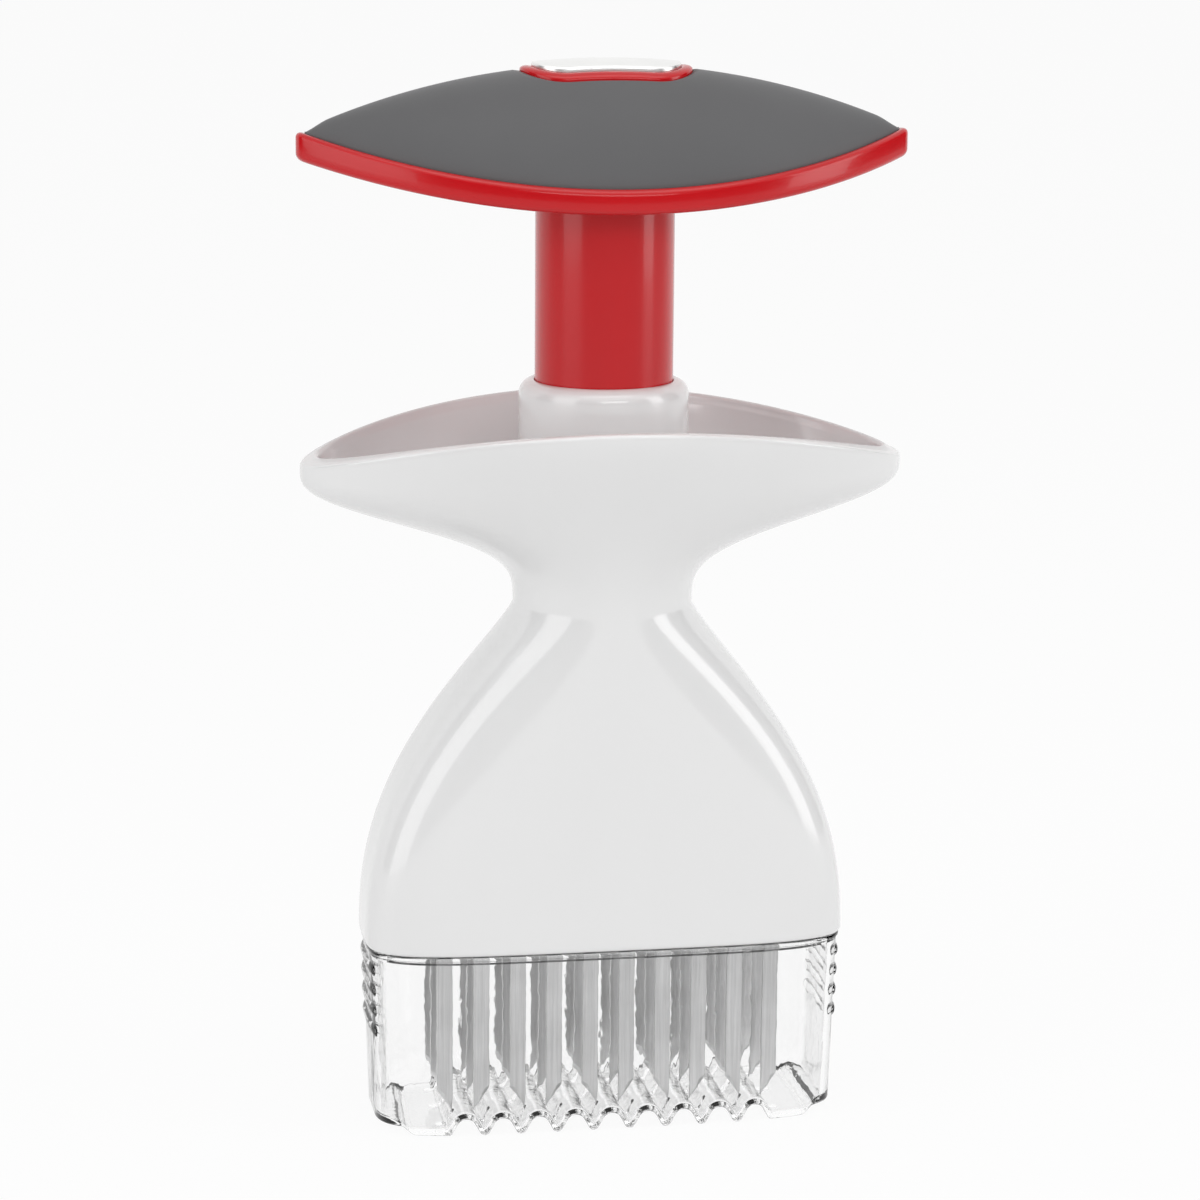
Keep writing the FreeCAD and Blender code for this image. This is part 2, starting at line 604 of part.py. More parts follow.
def blade(x, y, side):
    """Flat blade with a head that hangs in the carrier and a point ground from one side."""
    half = BLADE_WIDTH / 2
    head = BLADE_HEAD_WIDTH / 2
    outline = [(side * half, BLADE_TIP), (side * half, CARRIER_TOP - BLADE_HEAD_HEIGHT),
               (side * head, CARRIER_TOP - BLADE_HEAD_HEIGHT), (side * head, CARRIER_TOP),
               (-side * head, CARRIER_TOP), (-side * head, CARRIER_TOP - BLADE_HEAD_HEIGHT),
               (-side * half, CARRIER_TOP - BLADE_HEAD_HEIGHT), (-side * half, BLADE_TIP + BLADE_POINT)]
    front = y - BLADE_THICKNESS / 2
    points = [Vector(x + dx, front, z) for dx, z in outline]
    face = Part.Face(Part.makePolygon(points + [points[0]]))
    return solid(face.extrude(Vector(0, BLADE_THICKNESS, 0)))


def carrier_screw_places():
    """Plan places of the four carrier screws, between the blade rows."""
    x = 3.5 * TOOTH_PITCH
    return [(sx * x, sy * ROW_SPACING / 2) for sx in (-1, 1) for sy in (-1, 1)]


def blade_carrier():
    """Block with a slot and a head recess for each blade."""
    carrier = oval_prism(CARRIER_HALF_LENGTH, CARRIER_HALF_DEPTH, 5.0, CARRIER_BOTTOM, CARRIER_TOP)
    slots = []
    half_y = BLADE_THICKNESS / 2 + SEATED_FIT
    for _, x, y, _ in blade_places():
        half_x = BLADE_WIDTH / 2 + SEATED_FIT
        slots.append(block(x - half_x, x + half_x, y - half_y, y + half_y, CARRIER_BOTTOM - 1, CARRIER_TOP + 1))
        half_x = BLADE_HEAD_WIDTH / 2 + SEATED_FIT
        slots.append(block(x - half_x, x + half_x, y - half_y, y + half_y,
                           CARRIER_TOP - BLADE_HEAD_HEIGHT, CARRIER_TOP + 1))
    for x, y in carrier_screw_places():
        low = CLAMP_TOP - CARRIER_SCREW_REACH - BLIND_ROOM
        slots.append(cylinder(SMALL_SCREW_RADIUS + SEATED_FIT, low, CLAMP_TOP, x, y))
    return solid(carrier.cut(slots))


def clamp_plate():
    """Plate that holds the blade heads down, with the boss that stops under the shelf."""
    plate = oval_prism(CLAMP_HALF_LENGTH + BLADE_WIDTH, CARRIER_HALF_DEPTH - 1, 5.0, CARRIER_TOP, CLAMP_TOP)
    plate = plate.fuse(cylinder(CLAMP_BOSS_RADIUS, CLAMP_TOP, BOSS_TOP))
    plate = plate.cut(cylinder(ROD_RADIUS + SEATED_FIT, ROD_BOTTOM, BOSS_TOP + 1))
    plate = plate.cut(cylinder(LARGE_SCREW_RADIUS + SEATED_FIT, CARRIER_TOP - 1, CLAMP_TOP + 1))
    head_seat = CARRIER_TOP + CLAMP_THICKNESS / 2
    plate = plate.cut(cylinder(LARGE_HEAD_RADIUS + SEATED_FIT, CARRIER_TOP - 1, head_seat))
    for x, y in carrier_screw_places():
        plate = plate.cut(cylinder(SMALL_SCREW_RADIUS + SEATED_FIT, CARRIER_TOP - 1, CLAMP_TOP + 1, x, y))
    return solid(plate)


def carrier_screws():
    """Four screws from above through the clamp plate into the carrier."""
    screws = []
    for x, y in carrier_screw_places():
        screws.append(screw(x, y, CLAMP_TOP, CARRIER_SCREW_REACH, SMALL_SCREW_RADIUS, SMALL_HEAD_RADIUS,
                            SMALL_HEAD_HEIGHT, False))
    return Part.makeCompound(screws)


def rod_screw():
    """Screw from below through the clamp plate into the push rod."""
    seat = CARRIER_TOP + CLAMP_THICKNESS / 2
    reach = CLAMP_TOP + ROD_SCREW_REACH - 1 - seat
    return screw(0, 0, seat, reach, LARGE_SCREW_RADIUS, LARGE_HEAD_RADIUS, CLAMP_THICKNESS / 2 - BED_GAP, True)


def guard_section(z, inset):
    """Outline of the guard's wall under the hood, drawn in by inset, with a slight draft."""
    draft = GUARD_DRAFT * (1 - z / HOOD_BOTTOM)
    length = HOOD_HALF_LENGTH - GUARD_INSET - draft - inset
    depth = HOOD_HALF_DEPTH - GUARD_INSET - draft / 2 - inset
    return oval_wire(length, depth, HOOD_CORNER_POWER, HOOD_CORNER_POWER, z)


def floor_wave(offset):
    """Points and arc middles of the corrugated floor's lower line, moved up by offset square to itself."""
    half = TOOTH_PITCH / 2
    arch = ARCH_RADIUS
    tooth = TOOTH_RADIUS
    both = arch + tooth
    reach = hypot(both - ARCH_HEIGHT, half)
    slope = atan2(half, both - ARCH_HEIGHT) - acos(both / reach)
    arch_centre = ARCH_HEIGHT - arch
    tooth_centre = tooth
    arch += offset
    tooth -= offset
    spans = []
    for k in range(COLUMNS - 1):
        centre = (k - (COLUMNS - 2) / 2) * TOOTH_PITCH
        side = arch * sin(slope)
        level = arch_centre + arch * cos(slope)
        spans.append(((centre - side, level), (centre, arch_centre + arch), (centre + side, level)))
        if k < COLUMNS - 2:
            centre += half
            side = tooth * sin(slope)
            level = tooth_centre - tooth * cos(slope)
            spans.append(((centre - side, level), (centre, tooth_centre - tooth), (centre + side, level)))
    return spans, slope


def floor_sheet():
    """The corrugated floor: arches and teeth from front to back, and a flat wide foot near each end."""
    depth = HOOD_HALF_DEPTH + 1
    reach = HOOD_HALF_LENGTH + 1

    def line(points_2d):
        return [Vector(x, -depth, z) for x, z in points_2d]

    def wave_edges(offset):
        spans, slope = floor_wave(offset)
        first = spans[0][0]
        last = spans[-1][2]
        foot_in = first[0] - (first[1] - offset) / (sin(slope) / cos(slope))
        foot_out = foot_in - FOOT_WIDTH
        rise_out = foot_out - FOOT_ROUND
        shoulder = FOOT_ROUND + offset
        left = line([(-reach, shoulder), (rise_out, shoulder), (foot_out, offset), (foot_in, offset), first])
        right = line([last, (-foot_in, offset), (-foot_out, offset), (-rise_out, shoulder), (reach, shoulder)])
        edges = [Part.LineSegment(a, b).toShape() for a, b in zip(left, left[1:])]
        previous = None
        for span in spans:
            start, middle, end = line(span)
            if previous is not None:
                edges.append(Part.LineSegment(previous, start).toShape())
            edges.append(Part.Arc(start, middle, end).toShape())
            previous = end
        edges += [Part.LineSegment(a, b).toShape() for a, b in zip(right, right[1:])]
        return edges, left[0], right[-1]

    low_edges, low_left, low_right = wave_edges(0.0)
    high_edges, high_left, high_right = wave_edges(FLOOR_THICKNESS)
    ends = [Part.LineSegment(low_right, high_right).toShape(), Part.LineSegment(high_left, low_left).toShape()]
    wire = Part.Wire(Part.__sortEdges__(low_edges + high_edges + ends))
    return Part.Face(wire).extrude(Vector(0, 2 * depth, 0)), low_edges


def below_floor(low_edges):
    """Everything under the corrugated floor, to trim the walls along it."""
    start = low_edges[0].Vertexes[0].Point
    end = low_edges[-1].Vertexes[-1].Point
    down = Vector(0, 0, -5)
    closing = [Part.LineSegment(end, end + down).toShape(),
               Part.LineSegment(end + down, start + down).toShape(),
               Part.LineSegment(start + down, start).toShape()]
    wire = Part.Wire(Part.__sortEdges__(low_edges + closing))
    return Part.Face(wire).extrude(Vector(0, -2 * start.y, 0))


def guard():
    """Clear guard: drafted walls, rim inside the hood, flange, corrugated slotted floor and ribbed ends."""
    outside = Part.makeLoft([guard_section(z, 0) for z in (0.0, HOOD_BOTTOM - BED_GAP)], True, False)
    inside = Part.makeLoft([guard_section(z, GUARD_WALL) for z in (-1.0, HOOD_BOTTOM)], True, False)
    sheet, low_edges = floor_sheet()
    walls = outside.cut(inside).fuse(sheet.common(outside)).cut(below_floor(low_edges))
    rim_length = HOOD_HALF_LENGTH - BODY_WALL - SLIDE_GAP
    rim_depth = HOOD_HALF_DEPTH - BODY_WALL - SLIDE_GAP
    seat = HOOD_BOTTOM - BED_GAP
    rim_low = seat - 2 * FLANGE_THICKNESS
    rim = oval_prism(rim_length, rim_depth, HOOD_CORNER_POWER, rim_low, GUARD_TOP)
    flange = oval_prism(HOOD_HALF_LENGTH - GUARD_INSET / 2, HOOD_HALF_DEPTH - GUARD_INSET / 2,
                        HOOD_CORNER_POWER, seat - FLANGE_THICKNESS, seat)
    ledge_inset = GUARD_INSET + GUARD_WALL / 2
    ledge = oval_prism(HOOD_HALF_LENGTH - ledge_inset, HOOD_HALF_DEPTH - ledge_inset,
                       HOOD_CORNER_POWER, rim_low, seat)
    mouth = oval_prism(rim_length - GUARD_WALL, rim_depth - GUARD_WALL, HOOD_CORNER_POWER,
                       rim_low - 1, GUARD_TOP + 1)
    shape = walls.fuse([rim.fuse([flange, ledge]).cut(mouth)] + grip_ribs() + detent_bumps(rim_depth))
    return solid(shape.cut(blade_slots()))


def grip_ribs():
    """Horizontal ribs on both ends, where finger and thumb pull the guard off."""
    ribs = []
    for end in (-1, 1):
        for k in range(GRIP_RIBS):
            z = GRIP_TOP - GRIP_RIB_RADIUS - k * GRIP_PITCH
            wall = HOOD_HALF_LENGTH - GUARD_INSET - GUARD_DRAFT * (1 - z / HOOD_BOTTOM)
            x = wall + GRIP_RIB_PROUD - GRIP_RIB_RADIUS
            start = Vector(end * x, -GRIP_HALF_DEPTH, z)
            rib = Part.makeCylinder(GRIP_RIB_RADIUS, 2 * GRIP_HALF_DEPTH, start, Vector(0, 1, 0))
            keep = block(-wall - 2, wall + 2, -GRIP_HALF_DEPTH, GRIP_HALF_DEPTH, 0, HOOD_BOTTOM)
            inner = wall - GUARD_WALL
            core = block(-inner, inner, -GRIP_HALF_DEPTH, GRIP_HALF_DEPTH, 0, HOOD_BOTTOM)
            ribs.append(rib.common(keep).cut(core))
    return ribs


def detent_bumps(rim_depth):
    """Low bumps on the rim that hold the guard in the hood."""
    bumps = []
    for side in (-1, 1):
        centre = Vector(-BUMP_LENGTH / 2, side * (rim_depth + BUMP_PROUD - BUMP_RADIUS), GUARD_TOP - 2)
        bump = Part.makeCylinder(BUMP_RADIUS, BUMP_LENGTH, centre, Vector(1, 0, 0))
        low = side * (rim_depth - GUARD_WALL / 2)
        high = side * HOOD_HALF_DEPTH
        keep = block(-BUMP_LENGTH, BUMP_LENGTH, min(low, high), max(low, high), GUARD_TOP - 4, GUARD_TOP)
        bumps.append(bump.common(keep))
    return bumps


def blade_slots():
    """Slots through the floor, one for each blade, with room all round."""
    slots = []
    half_x = BLADE_WIDTH / 2 + SLOT_ROOM
    half_y = BLADE_THICKNESS / 2 + SLOT_ROOM
    top = ARCH_HEIGHT + 3 * FLOOR_THICKNESS
    for _, x, y, _ in blade_places():
        slots.append(block(x - half_x, x + half_x, y - half_y, y + half_y, -1, top))
    return slots


def build():
    """Every node's name with its shape."""
    nodes = {
        "body_shell": body_shell(),
        "rod_bush": rod_bush(),
        "return_spring": return_spring(),
        "upper_spring_seat": upper_spring_seat(),
        "plunger_tube": plunger_tube(),
        "push_rod": push_rod(),
        "head_shell": head_shell(),
        "head_base": head_base(),
        "base_screws": base_screws(),
        "head_screw": head_screw(),
        "palm_pad": palm_pad(),
        "badge_plate": badge_plate(),
        "blade_carrier": blade_carrier(),
        "clamp_plate": clamp_plate(),
        "carrier_screws": carrier_screws(),
        "rod_screw": rod_screw(),
        "guard": guard(),
    }
    for name, x, y, side in blade_places():
        nodes[name] = blade(x, y, side)
    return nodes


def main():
    """Write one STEP file for each node."""
    os.makedirs("parts", exist_ok=True)
    for name, shape in build().items():
        print("%s: %d solid, volume %.1f, valid %s" % (name, len(shape.Solids), shape.Volume, shape.isValid()))
        shape.exportStep("parts/%s.step" % name)


main()
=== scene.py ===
"""Blade meat tenderizer: visible surfaces, finishes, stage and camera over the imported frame.

Shapes are worked out in millimetres and put into the meshes in metres. X runs along the wide side,
-Y is the front and z = 0 is the guard's feet.
"""

from math import cos, pi, radians, sin

import bpy
import numpy as np
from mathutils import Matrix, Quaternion, Vector


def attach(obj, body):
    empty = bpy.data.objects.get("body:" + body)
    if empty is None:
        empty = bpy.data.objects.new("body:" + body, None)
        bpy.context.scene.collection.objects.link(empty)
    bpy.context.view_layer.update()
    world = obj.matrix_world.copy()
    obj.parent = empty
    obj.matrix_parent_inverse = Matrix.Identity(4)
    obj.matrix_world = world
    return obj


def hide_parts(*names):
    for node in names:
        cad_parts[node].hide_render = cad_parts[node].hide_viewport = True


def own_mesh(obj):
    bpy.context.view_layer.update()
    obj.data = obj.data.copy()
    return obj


bl_info = {
    "name": "Blade meat tenderizer",
    "version": (1, 0, 0),
    "blender": (4, 5, 0),
    "location": "View3D > Sidebar > Tenderizer",
    "description": "Builds the looks of a spring-loaded blade meat tenderizer over its packed frame",
    "category": "Object",
}

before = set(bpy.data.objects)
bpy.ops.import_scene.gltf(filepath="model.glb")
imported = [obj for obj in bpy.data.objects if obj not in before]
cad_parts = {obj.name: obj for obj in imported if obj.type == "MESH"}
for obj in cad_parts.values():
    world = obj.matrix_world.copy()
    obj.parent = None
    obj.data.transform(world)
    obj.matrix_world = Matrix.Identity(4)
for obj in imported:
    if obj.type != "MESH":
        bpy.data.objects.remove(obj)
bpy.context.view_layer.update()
MM = 0.001
COLUMNS = 288         # points round an outline
COARSE = 9            # small outlines keep every ninth of them
SAMPLES = 1441        # points along an outline before it is spaced out
FINE = "fine_"        # how the names of the detailed finishes start


# Sizes shared with the solids, in millimetres

HOOD = {"half_length": 40.2, "half_depth": 15.0, "bottom": 31.2, "power": 4.6, "curve": (2.3, 1.25),
        "wall": 2.0, "edge": 0.6}
NECK = {"radius": 14.8, "height": 87.3, "shelf": (74.0, 78.0), "bush": 6.55}
BOWL = {"half_length": 49.8, "half_depth": 25.0, "tip_height": 110.2, "rim_mid": 119.2, "rim_tip": 111.3,
        "wall": 1.9, "tip_power": 1.95, "tip_extra": 2.2, "curve": (3.3, 3.6), "depth_curve": (2.0, 1.6),
        "floor": 93.3}
COLLAR = {"radius": 13.9, "bore": 11.35, "top": 124.3}
TUBE = {"radius": 11.3, "bore": 9.3, "bottom": 105.2, "top": 161.4, "cap": 4.0, "hole": 4.55, "edge": 0.5}
HEAD = {"half_length": 50.0, "half_depth": 22.0, "tip": 3.0, "underside": 153.3, "lift": 7.1, "band": 4.0,
        "tip_extra": 0.6, "rim": 1.4, "crest": 175.3, "crest_drop": 10.7, "power": 0.75, "pad": 2.0,
        "sink": 1.2, "wall": 2.2, "low_round": 1.0, "groove_round": 0.25, "fade": 4.0, "least_rise": 0.3}
PAD_GAP = {"rim": 0.06, "island": 0.08, "core": 0.05}
ISLAND = {"half_length": 14.0, "half_depth": 7.5, "rim": 1.8, "depth": 2.6, "gap": 0.05}
SPRING = {"wire": 0.6, "radius": 7.9, "turns": 14, "bottom": 79.5, "top": 155.9, "gap": 0.1}
GUARD = {"inset": 0.6, "wall": 1.2, "draft": 0.9, "seat": 31.1, "ledge": 29.5, "top": 37.2, "flange": 0.8,
         "rim_gap": 0.3, "floor": 0.8, "arch_height": 2.8, "arch": 1.6, "tooth": 0.95, "pitch": 6.1,
         "arches": 9, "even": 31.0, "outer_edge": 0.5, "inner_edge": 0.6, "lip": 0.3, "crown": 0.4,
         "foot": 6.4, "shoulder": 1.4, "ribs": 4, "rib_pitch": 3.5, "rib_top": 28.6, "rib_radius": 1.1,
         "rib_proud": 0.55, "rib_half": 8.0}
BLADE = {"rows": {"front": -8.5, "middle": 0.0, "back": 8.5}, "columns": 10, "width": 2.6, "thickness": 0.7,
         "tip": 3.0, "point": 3.6, "top": 52.0, "head_width": 4.2, "head_height": 2.0, "room": 0.35,
         "ease": 0.07, "bevel": 0.75}


# Solids that stay in sight, with their slots

KEPT_SOLIDS = {
    "rod_bush": "white_acetal", "blade_carrier": "white_acetal", "clamp_plate": "white_acetal",
    "head_base": "red_plastic", "upper_spring_seat": "spring_steel", "push_rod": "spring_steel",
    "base_screws": "spring_steel", "head_screw": "spring_steel", "carrier_screws": "spring_steel",
    "rod_screw": "spring_steel"}


# Stage, in metres and watts: each lamp's place, size and power

LAMPS = {"left_box": ((-0.95, -0.45, 0.40), (0.70, 0.9), 4.2),
         "right_box": ((0.95, -0.40, 0.35), (0.40, 0.9), 3.8),
         "front_box": ((0.10, -1.20, 0.58), (0.8, 0.3), 3.0),
         "top_box": ((0.0, -0.25, 1.1), (0.9, 0.6), 2.6)}
LAMP_AIM = (0, 0, 0.09)
CAMERA_AIM = (0, 0, 0.0873)
CAMERA_SHIFT = -0.0017
FLOOR_REACH = 6.0
CARD = {"radius": 1.4, "height": 1.1, "half_angle": 112, "steps": 24}


# Property groups: what a user would change

class TenderizerSizes(bpy.types.PropertyGroup):
    """Small sizes of the visible surfaces."""
    lip_share: bpy.props.FloatProperty(
        name="Lip Share", description="Share of the collar wall that its lip rounds",
        default=0.9, min=0.1, max=0.95, subtype="FACTOR")
    rim_round: bpy.props.FloatProperty(
        name="Rim Round", description="Radius of the head rim's upper edge",
        default=0.0011, min=0.0, max=0.0013, unit="LENGTH")
    bowl_round: bpy.props.FloatProperty(
        name="Bowl Round", description="Radius of the finger bowl's rim edges",
        default=0.0008, min=0.0, max=0.0009, unit="LENGTH")
    bead_height: bpy.props.FloatProperty(
        name="Bead Height", description="Height of the red bead round the badge",
        default=0.0005, min=0.0, max=0.001, unit="LENGTH")
    badge_rise: bpy.props.FloatProperty(
        name="Badge Rise", description="Height of the badge above the pad",
        default=0.001, min=0.0, max=0.001, unit="LENGTH")


class TenderizerColours(bpy.types.PropertyGroup):
    """Colours of the mouldings."""
    white: bpy.props.FloatVectorProperty(
        name="Body White", description="Colour of the white moulding",
        default=(0.83, 0.83, 0.83), size=3, min=0, max=1, subtype="COLOR")
    red: bpy.props.FloatVectorProperty(
        name="Plunger Red", description="Colour of the red mouldings",
        default=(0.56, 0.005, 0.009), size=3, min=0, max=1, subtype="COLOR")
    grey: bpy.props.FloatVectorProperty(
        name="Pad Grey", description="Colour of the soft palm pad",
        default=(0.105, 0.105, 0.108), size=3, min=0, max=1, subtype="COLOR")
    silver: bpy.props.FloatVectorProperty(
        name="Badge Silver", description="Colour of the bare badge",
        default=(0.86, 0.86, 0.85), size=3, min=0, max=1, subtype="COLOR")


class TenderizerView(bpy.types.PropertyGroup):
    """Where the camera stands."""
    azimuth: bpy.props.FloatProperty(
        name="Azimuth", description="Angle of the camera round the object",
        default=radians(-10), subtype="ANGLE")
    elevation: bpy.props.FloatProperty(
        name="Elevation", description="Angle of the camera above the horizon",
        default=radians(12.2), subtype="ANGLE")
    distance: bpy.props.FloatProperty(
        name="Distance", description="Distance of the camera from the object",
        default=0.620, unit="LENGTH")
    lens: bpy.props.FloatProperty(name="Lens", description="Focal length on a 36 mm sensor", default=112.5)
    roll: bpy.props.FloatProperty(
        name="Roll", description="Turn of the camera about its own axis",
        default=radians(0.45), subtype="ANGLE")


# Shader expressions

class Value:
    """A socket that carries one number; arithmetic on it adds Math nodes."""

    def __init__(self, shader, socket):
        self.shader = shader
        self.socket = socket

    def _math(self, operation, first, second=0.0):
        return self.shader.node("ShaderNodeMath", {"operation": operation}, [first, second])

    def __add__(self, other):
        return self._math("ADD", self, other)

    def __sub__(self, other):
        return self._math("SUBTRACT", self, other)

    def __rsub__(self, other):
        return self._math("SUBTRACT", other, self)

    def __mul__(self, other):
        return self._math("MULTIPLY", self, other)

    __radd__ = __add__
    __rmul__ = __mul__


class Shader:
    """The node tree of a material or world: one method makes any node, the others name what is often used."""

    def __init__(self, owner, output="ShaderNodeOutputMaterial"):
        owner.use_nodes = True
        self.owner = owner
        self.tree = owner.node_tree
        self.tree.nodes.clear()
        self.output = self.tree.nodes.new(output)

    def node(self, kind, settings=None, values=None, out=0):
        """A node of this kind: first its settings, then its sockets' values or links. Returns one output."""
        made = self.tree.nodes.new(kind)
        for key, value in (settings or {}).items():
            setattr(made, key, value)
        pairs = values.items() if isinstance(values, dict) else enumerate(values or [])
        for key, value in pairs:
            if isinstance(value, Value):
                self.tree.links.new(value.socket, made.inputs[key])
            else:
                made.inputs[key].default_value = value
        return Value(self, made.outputs[out])

    def close(self, surface):
        """Links the surface to the output and returns the owner."""
        self.tree.links.new(surface.socket, self.output.inputs["Surface"])
        return self.owner

    def place(self, scale=(1, 1, 1), turn=(0, 0, 0)):
        """Object coordinates, scaled and turned."""
        where = self.node("ShaderNodeTexCoord", out="Object")
        return self.node("ShaderNodeMapping", None, {"Vector": where, "Scale": scale, "Rotation": turn})

    def noise(self, where, scale, detail=2.0, rough=0.5):
        """Smooth noise from 0 to 1, scale in cells per metre."""
        return self.node("ShaderNodeTexNoise", None,
                         {"Vector": where, "Scale": scale, "Detail": detail, "Roughness": rough})

    def ramp(self, factor, low, high):
        """The factor stretched so that low becomes 0 and high becomes 1."""
        return self.node("ShaderNodeMapRange", {"clamp": True},
                         {"Value": factor, "From Min": low, "From Max": high})

    def mix(self, factor, first, second):
        """A colour between two colours."""
        return self.node("ShaderNodeMix", {"data_type": "RGBA"}, {0: factor, 6: first, 7: second}, out=2)

    def bump(self, height, depth, strength=1.0):
        """A normal from a height of 0 to 1 that stands for depth metres."""
        return self.node("ShaderNodeBump", None, {"Strength": strength, "Distance": depth, "Height": height})

    def principled(self, varying, constant):
        """Finishes the material with a Principled surface."""
        return self.close(self.node("ShaderNodeBsdfPrincipled", None, {**constant, **varying}))


def material(name):
    """An empty new material's shader."""
    return Shader(bpy.data.materials.new(name))


def shade(colour, factor):
    """A colour made darker or lighter, as four numbers."""
    return (*[min(c * factor, 1.0) for c in colour[:3]], 1.0)


def gloss_moulding(name, colour, roughness, coat, dusk, specular):
    """Glossy moulded plastic: faint flow marks in the colour, faint waviness and an uneven polish."""
    s = material(name)
    where = s.place()
    flow = s.noise(s.place((1, 1, 0.35)), 55, 3)
    peel = s.noise(where, 900, 2)
    wave = s.noise(where, 120, 1)
    scuff = s.ramp(s.noise(s.place((1, 1, 2.5)), 700, 5, 0.7), 0.60, 0.80)
    base = s.mix(flow, shade(colour, dusk), shade(colour, 2 - dusk))
    height = peel * 0.08 + wave * 0.92
    return s.principled(
        {"Base Color": base, "Roughness": roughness + flow * 0.05 + scuff * 0.06,
         "Coat Weight": coat - scuff * (coat * 0.3), "Normal": s.bump(height, 0.00005, 0.5)},
        {"Coat Roughness": 0.06, "IOR": 1.5, "Specular IOR Level": specular})


def soft_skin(name, colour):
    """Matte soft-touch skin: a fine grain, a slight cloud in the colour and smoother worn patches."""
    s = material(name)
    where = s.place()
    grain = s.noise(where, 5200, 3, 0.6)
    cloud = s.noise(where, 60, 3)
    worn = s.ramp(s.noise(where, 35, 2), 0.45, 0.75)
    base = s.mix(cloud * 0.7 + grain * 0.3, shade(colour, 0.90), shade(colour, 1.10))
    return s.principled({"Base Color": base, "Roughness": 0.56 + grain * 0.10 - worn * 0.06,
                         "Normal": s.bump(grain, 0.00003, 0.6)},
                        {"IOR": 1.45, "Specular IOR Level": 0.45, "Sheen Weight": 0.15,
                         "Sheen Roughness": 0.5})


def brushed_metal(name, colour, roughness, stretch, spread=0.12):
    """Metal with fine grinding lines along the axis that stretch leaves long."""
    s = material(name)
    lines = s.noise(s.place(stretch), 2600, 4, 0.6)
    cloud = s.noise(s.place(), 90, 3)
    base = s.mix(s.ramp(lines * 0.6 + cloud * 0.4, 0.3, 0.7), shade(colour, 0.72), shade(colour, 1.25))
    return s.principled({"Base Color": base, "Roughness": roughness + lines * spread + cloud * 0.05,
                         "Normal": s.bump(lines, 0.000008, 0.6)},
                        {"Metallic": 1.0})


def satin_silver(name, colour):
    """Satin silvered face with a very fine blasted grain."""
    s = material(name)
    grain = s.noise(s.place(), 7000, 2, 0.6)
    cloud = s.noise(s.place(), 150, 2)
    base = s.mix(cloud, shade(colour, 0.96), shade(colour, 1.03))
    return s.principled({"Base Color": base, "Roughness": 0.30 + grain * 0.10,
                         "Normal": s.bump(grain, 0.000006, 0.5)}, {"Metallic": 1.0})


def clear_moulding(name):
    """Clear moulded plastic: faint flow lines, a slightly uneven polish, and painted shade that turns the
    colour grey at grazing angles so that edges look darker.
    """
    s = material(name)
    flow = s.noise(s.place((1, 1, 0.4)), 160, 2)
    wave = s.noise(s.place((1, 1, 0.5)), 420, 2)
    # Painted shade: where the surface turns edge-on to the view, the colour goes to dark grey. This stands in
    # for the dark edges that refraction shows.
    painted_edge_shade = s.node("ShaderNodeLayerWeight", None, {"Blend": 0.5}, out="Facing")
    clear = s.mix(flow, (0.99, 0.99, 0.99, 1), (1.0, 1.0, 1.0, 1))
    return s.principled({"Base Color": s.mix(s.ramp(painted_edge_shade, 0.50, 0.98), clear, (0.28, 0.28, 0.28, 1)),
                         "Roughness": 0.004 + wave * 0.01, "Normal": s.bump(wave, 0.00010, 0.6)},
                        {"Transmission Weight": 1.0, "IOR": 1.49})


def satin_acetal(name, colour):
    """Satin white engineering plastic with turning marks."""
    s = material(name)
    marks = s.noise(s.place((0.2, 0.2, 1)), 3500, 2)
    base = s.mix(marks, shade(colour, 0.95), shade(colour, 1.03))
    return s.principled({"Base Color": base, "Roughness": 0.38 + marks * 0.08,
                         "Normal": s.bump(marks, 0.00001, 0.5)}, {"IOR": 1.48})


def finishes(context):
    """Every finish by the record's slot, made once; the slots' own plain materials keep their names."""
    colours = context.scene.tenderizer_colours
    if FINE + "white_plastic" not in bpy.data.materials:
        gloss_moulding(FINE + "white_plastic", colours.white, 0.16, 0.5, 0.985, 0.5)
        gloss_moulding(FINE + "red_plastic", colours.red, 0.20, 0.22, 0.93, 0.30)
        soft_skin(FINE + "grey_pad", colours.grey)
        satin_silver(FINE + "silver_badge", colours.silver)
        brushed_metal(FINE + "blade_steel", (0.60, 0.60, 0.602), 0.24, (1, 1, 0.02))
        brushed_metal(FINE + "spring_steel", (0.55, 0.55, 0.56), 0.28, (1, 1, 0.3))
        clear_moulding(FINE + "clear_plastic")
        satin_acetal(FINE + "white_acetal", (0.82, 0.82, 0.80))
    return {name.removeprefix(FINE): made for name, made in bpy.data.materials.items()
            if name.startswith(FINE)}


# Surfaces from arrays

def surface(context, name, points, slot, body, replaced=(), loop=True):
    """A closed piece from a grid of points, with its finish, its body and the nodes it stands for."""
    item = bpy.data.objects.new(name, grid_mesh(name, points, loop))
    context.scene.collection.objects.link(item)
    item.data.materials.append(finishes(context)[slot])
    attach(item, body)
    if replaced:
        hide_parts(*replaced)
    return item


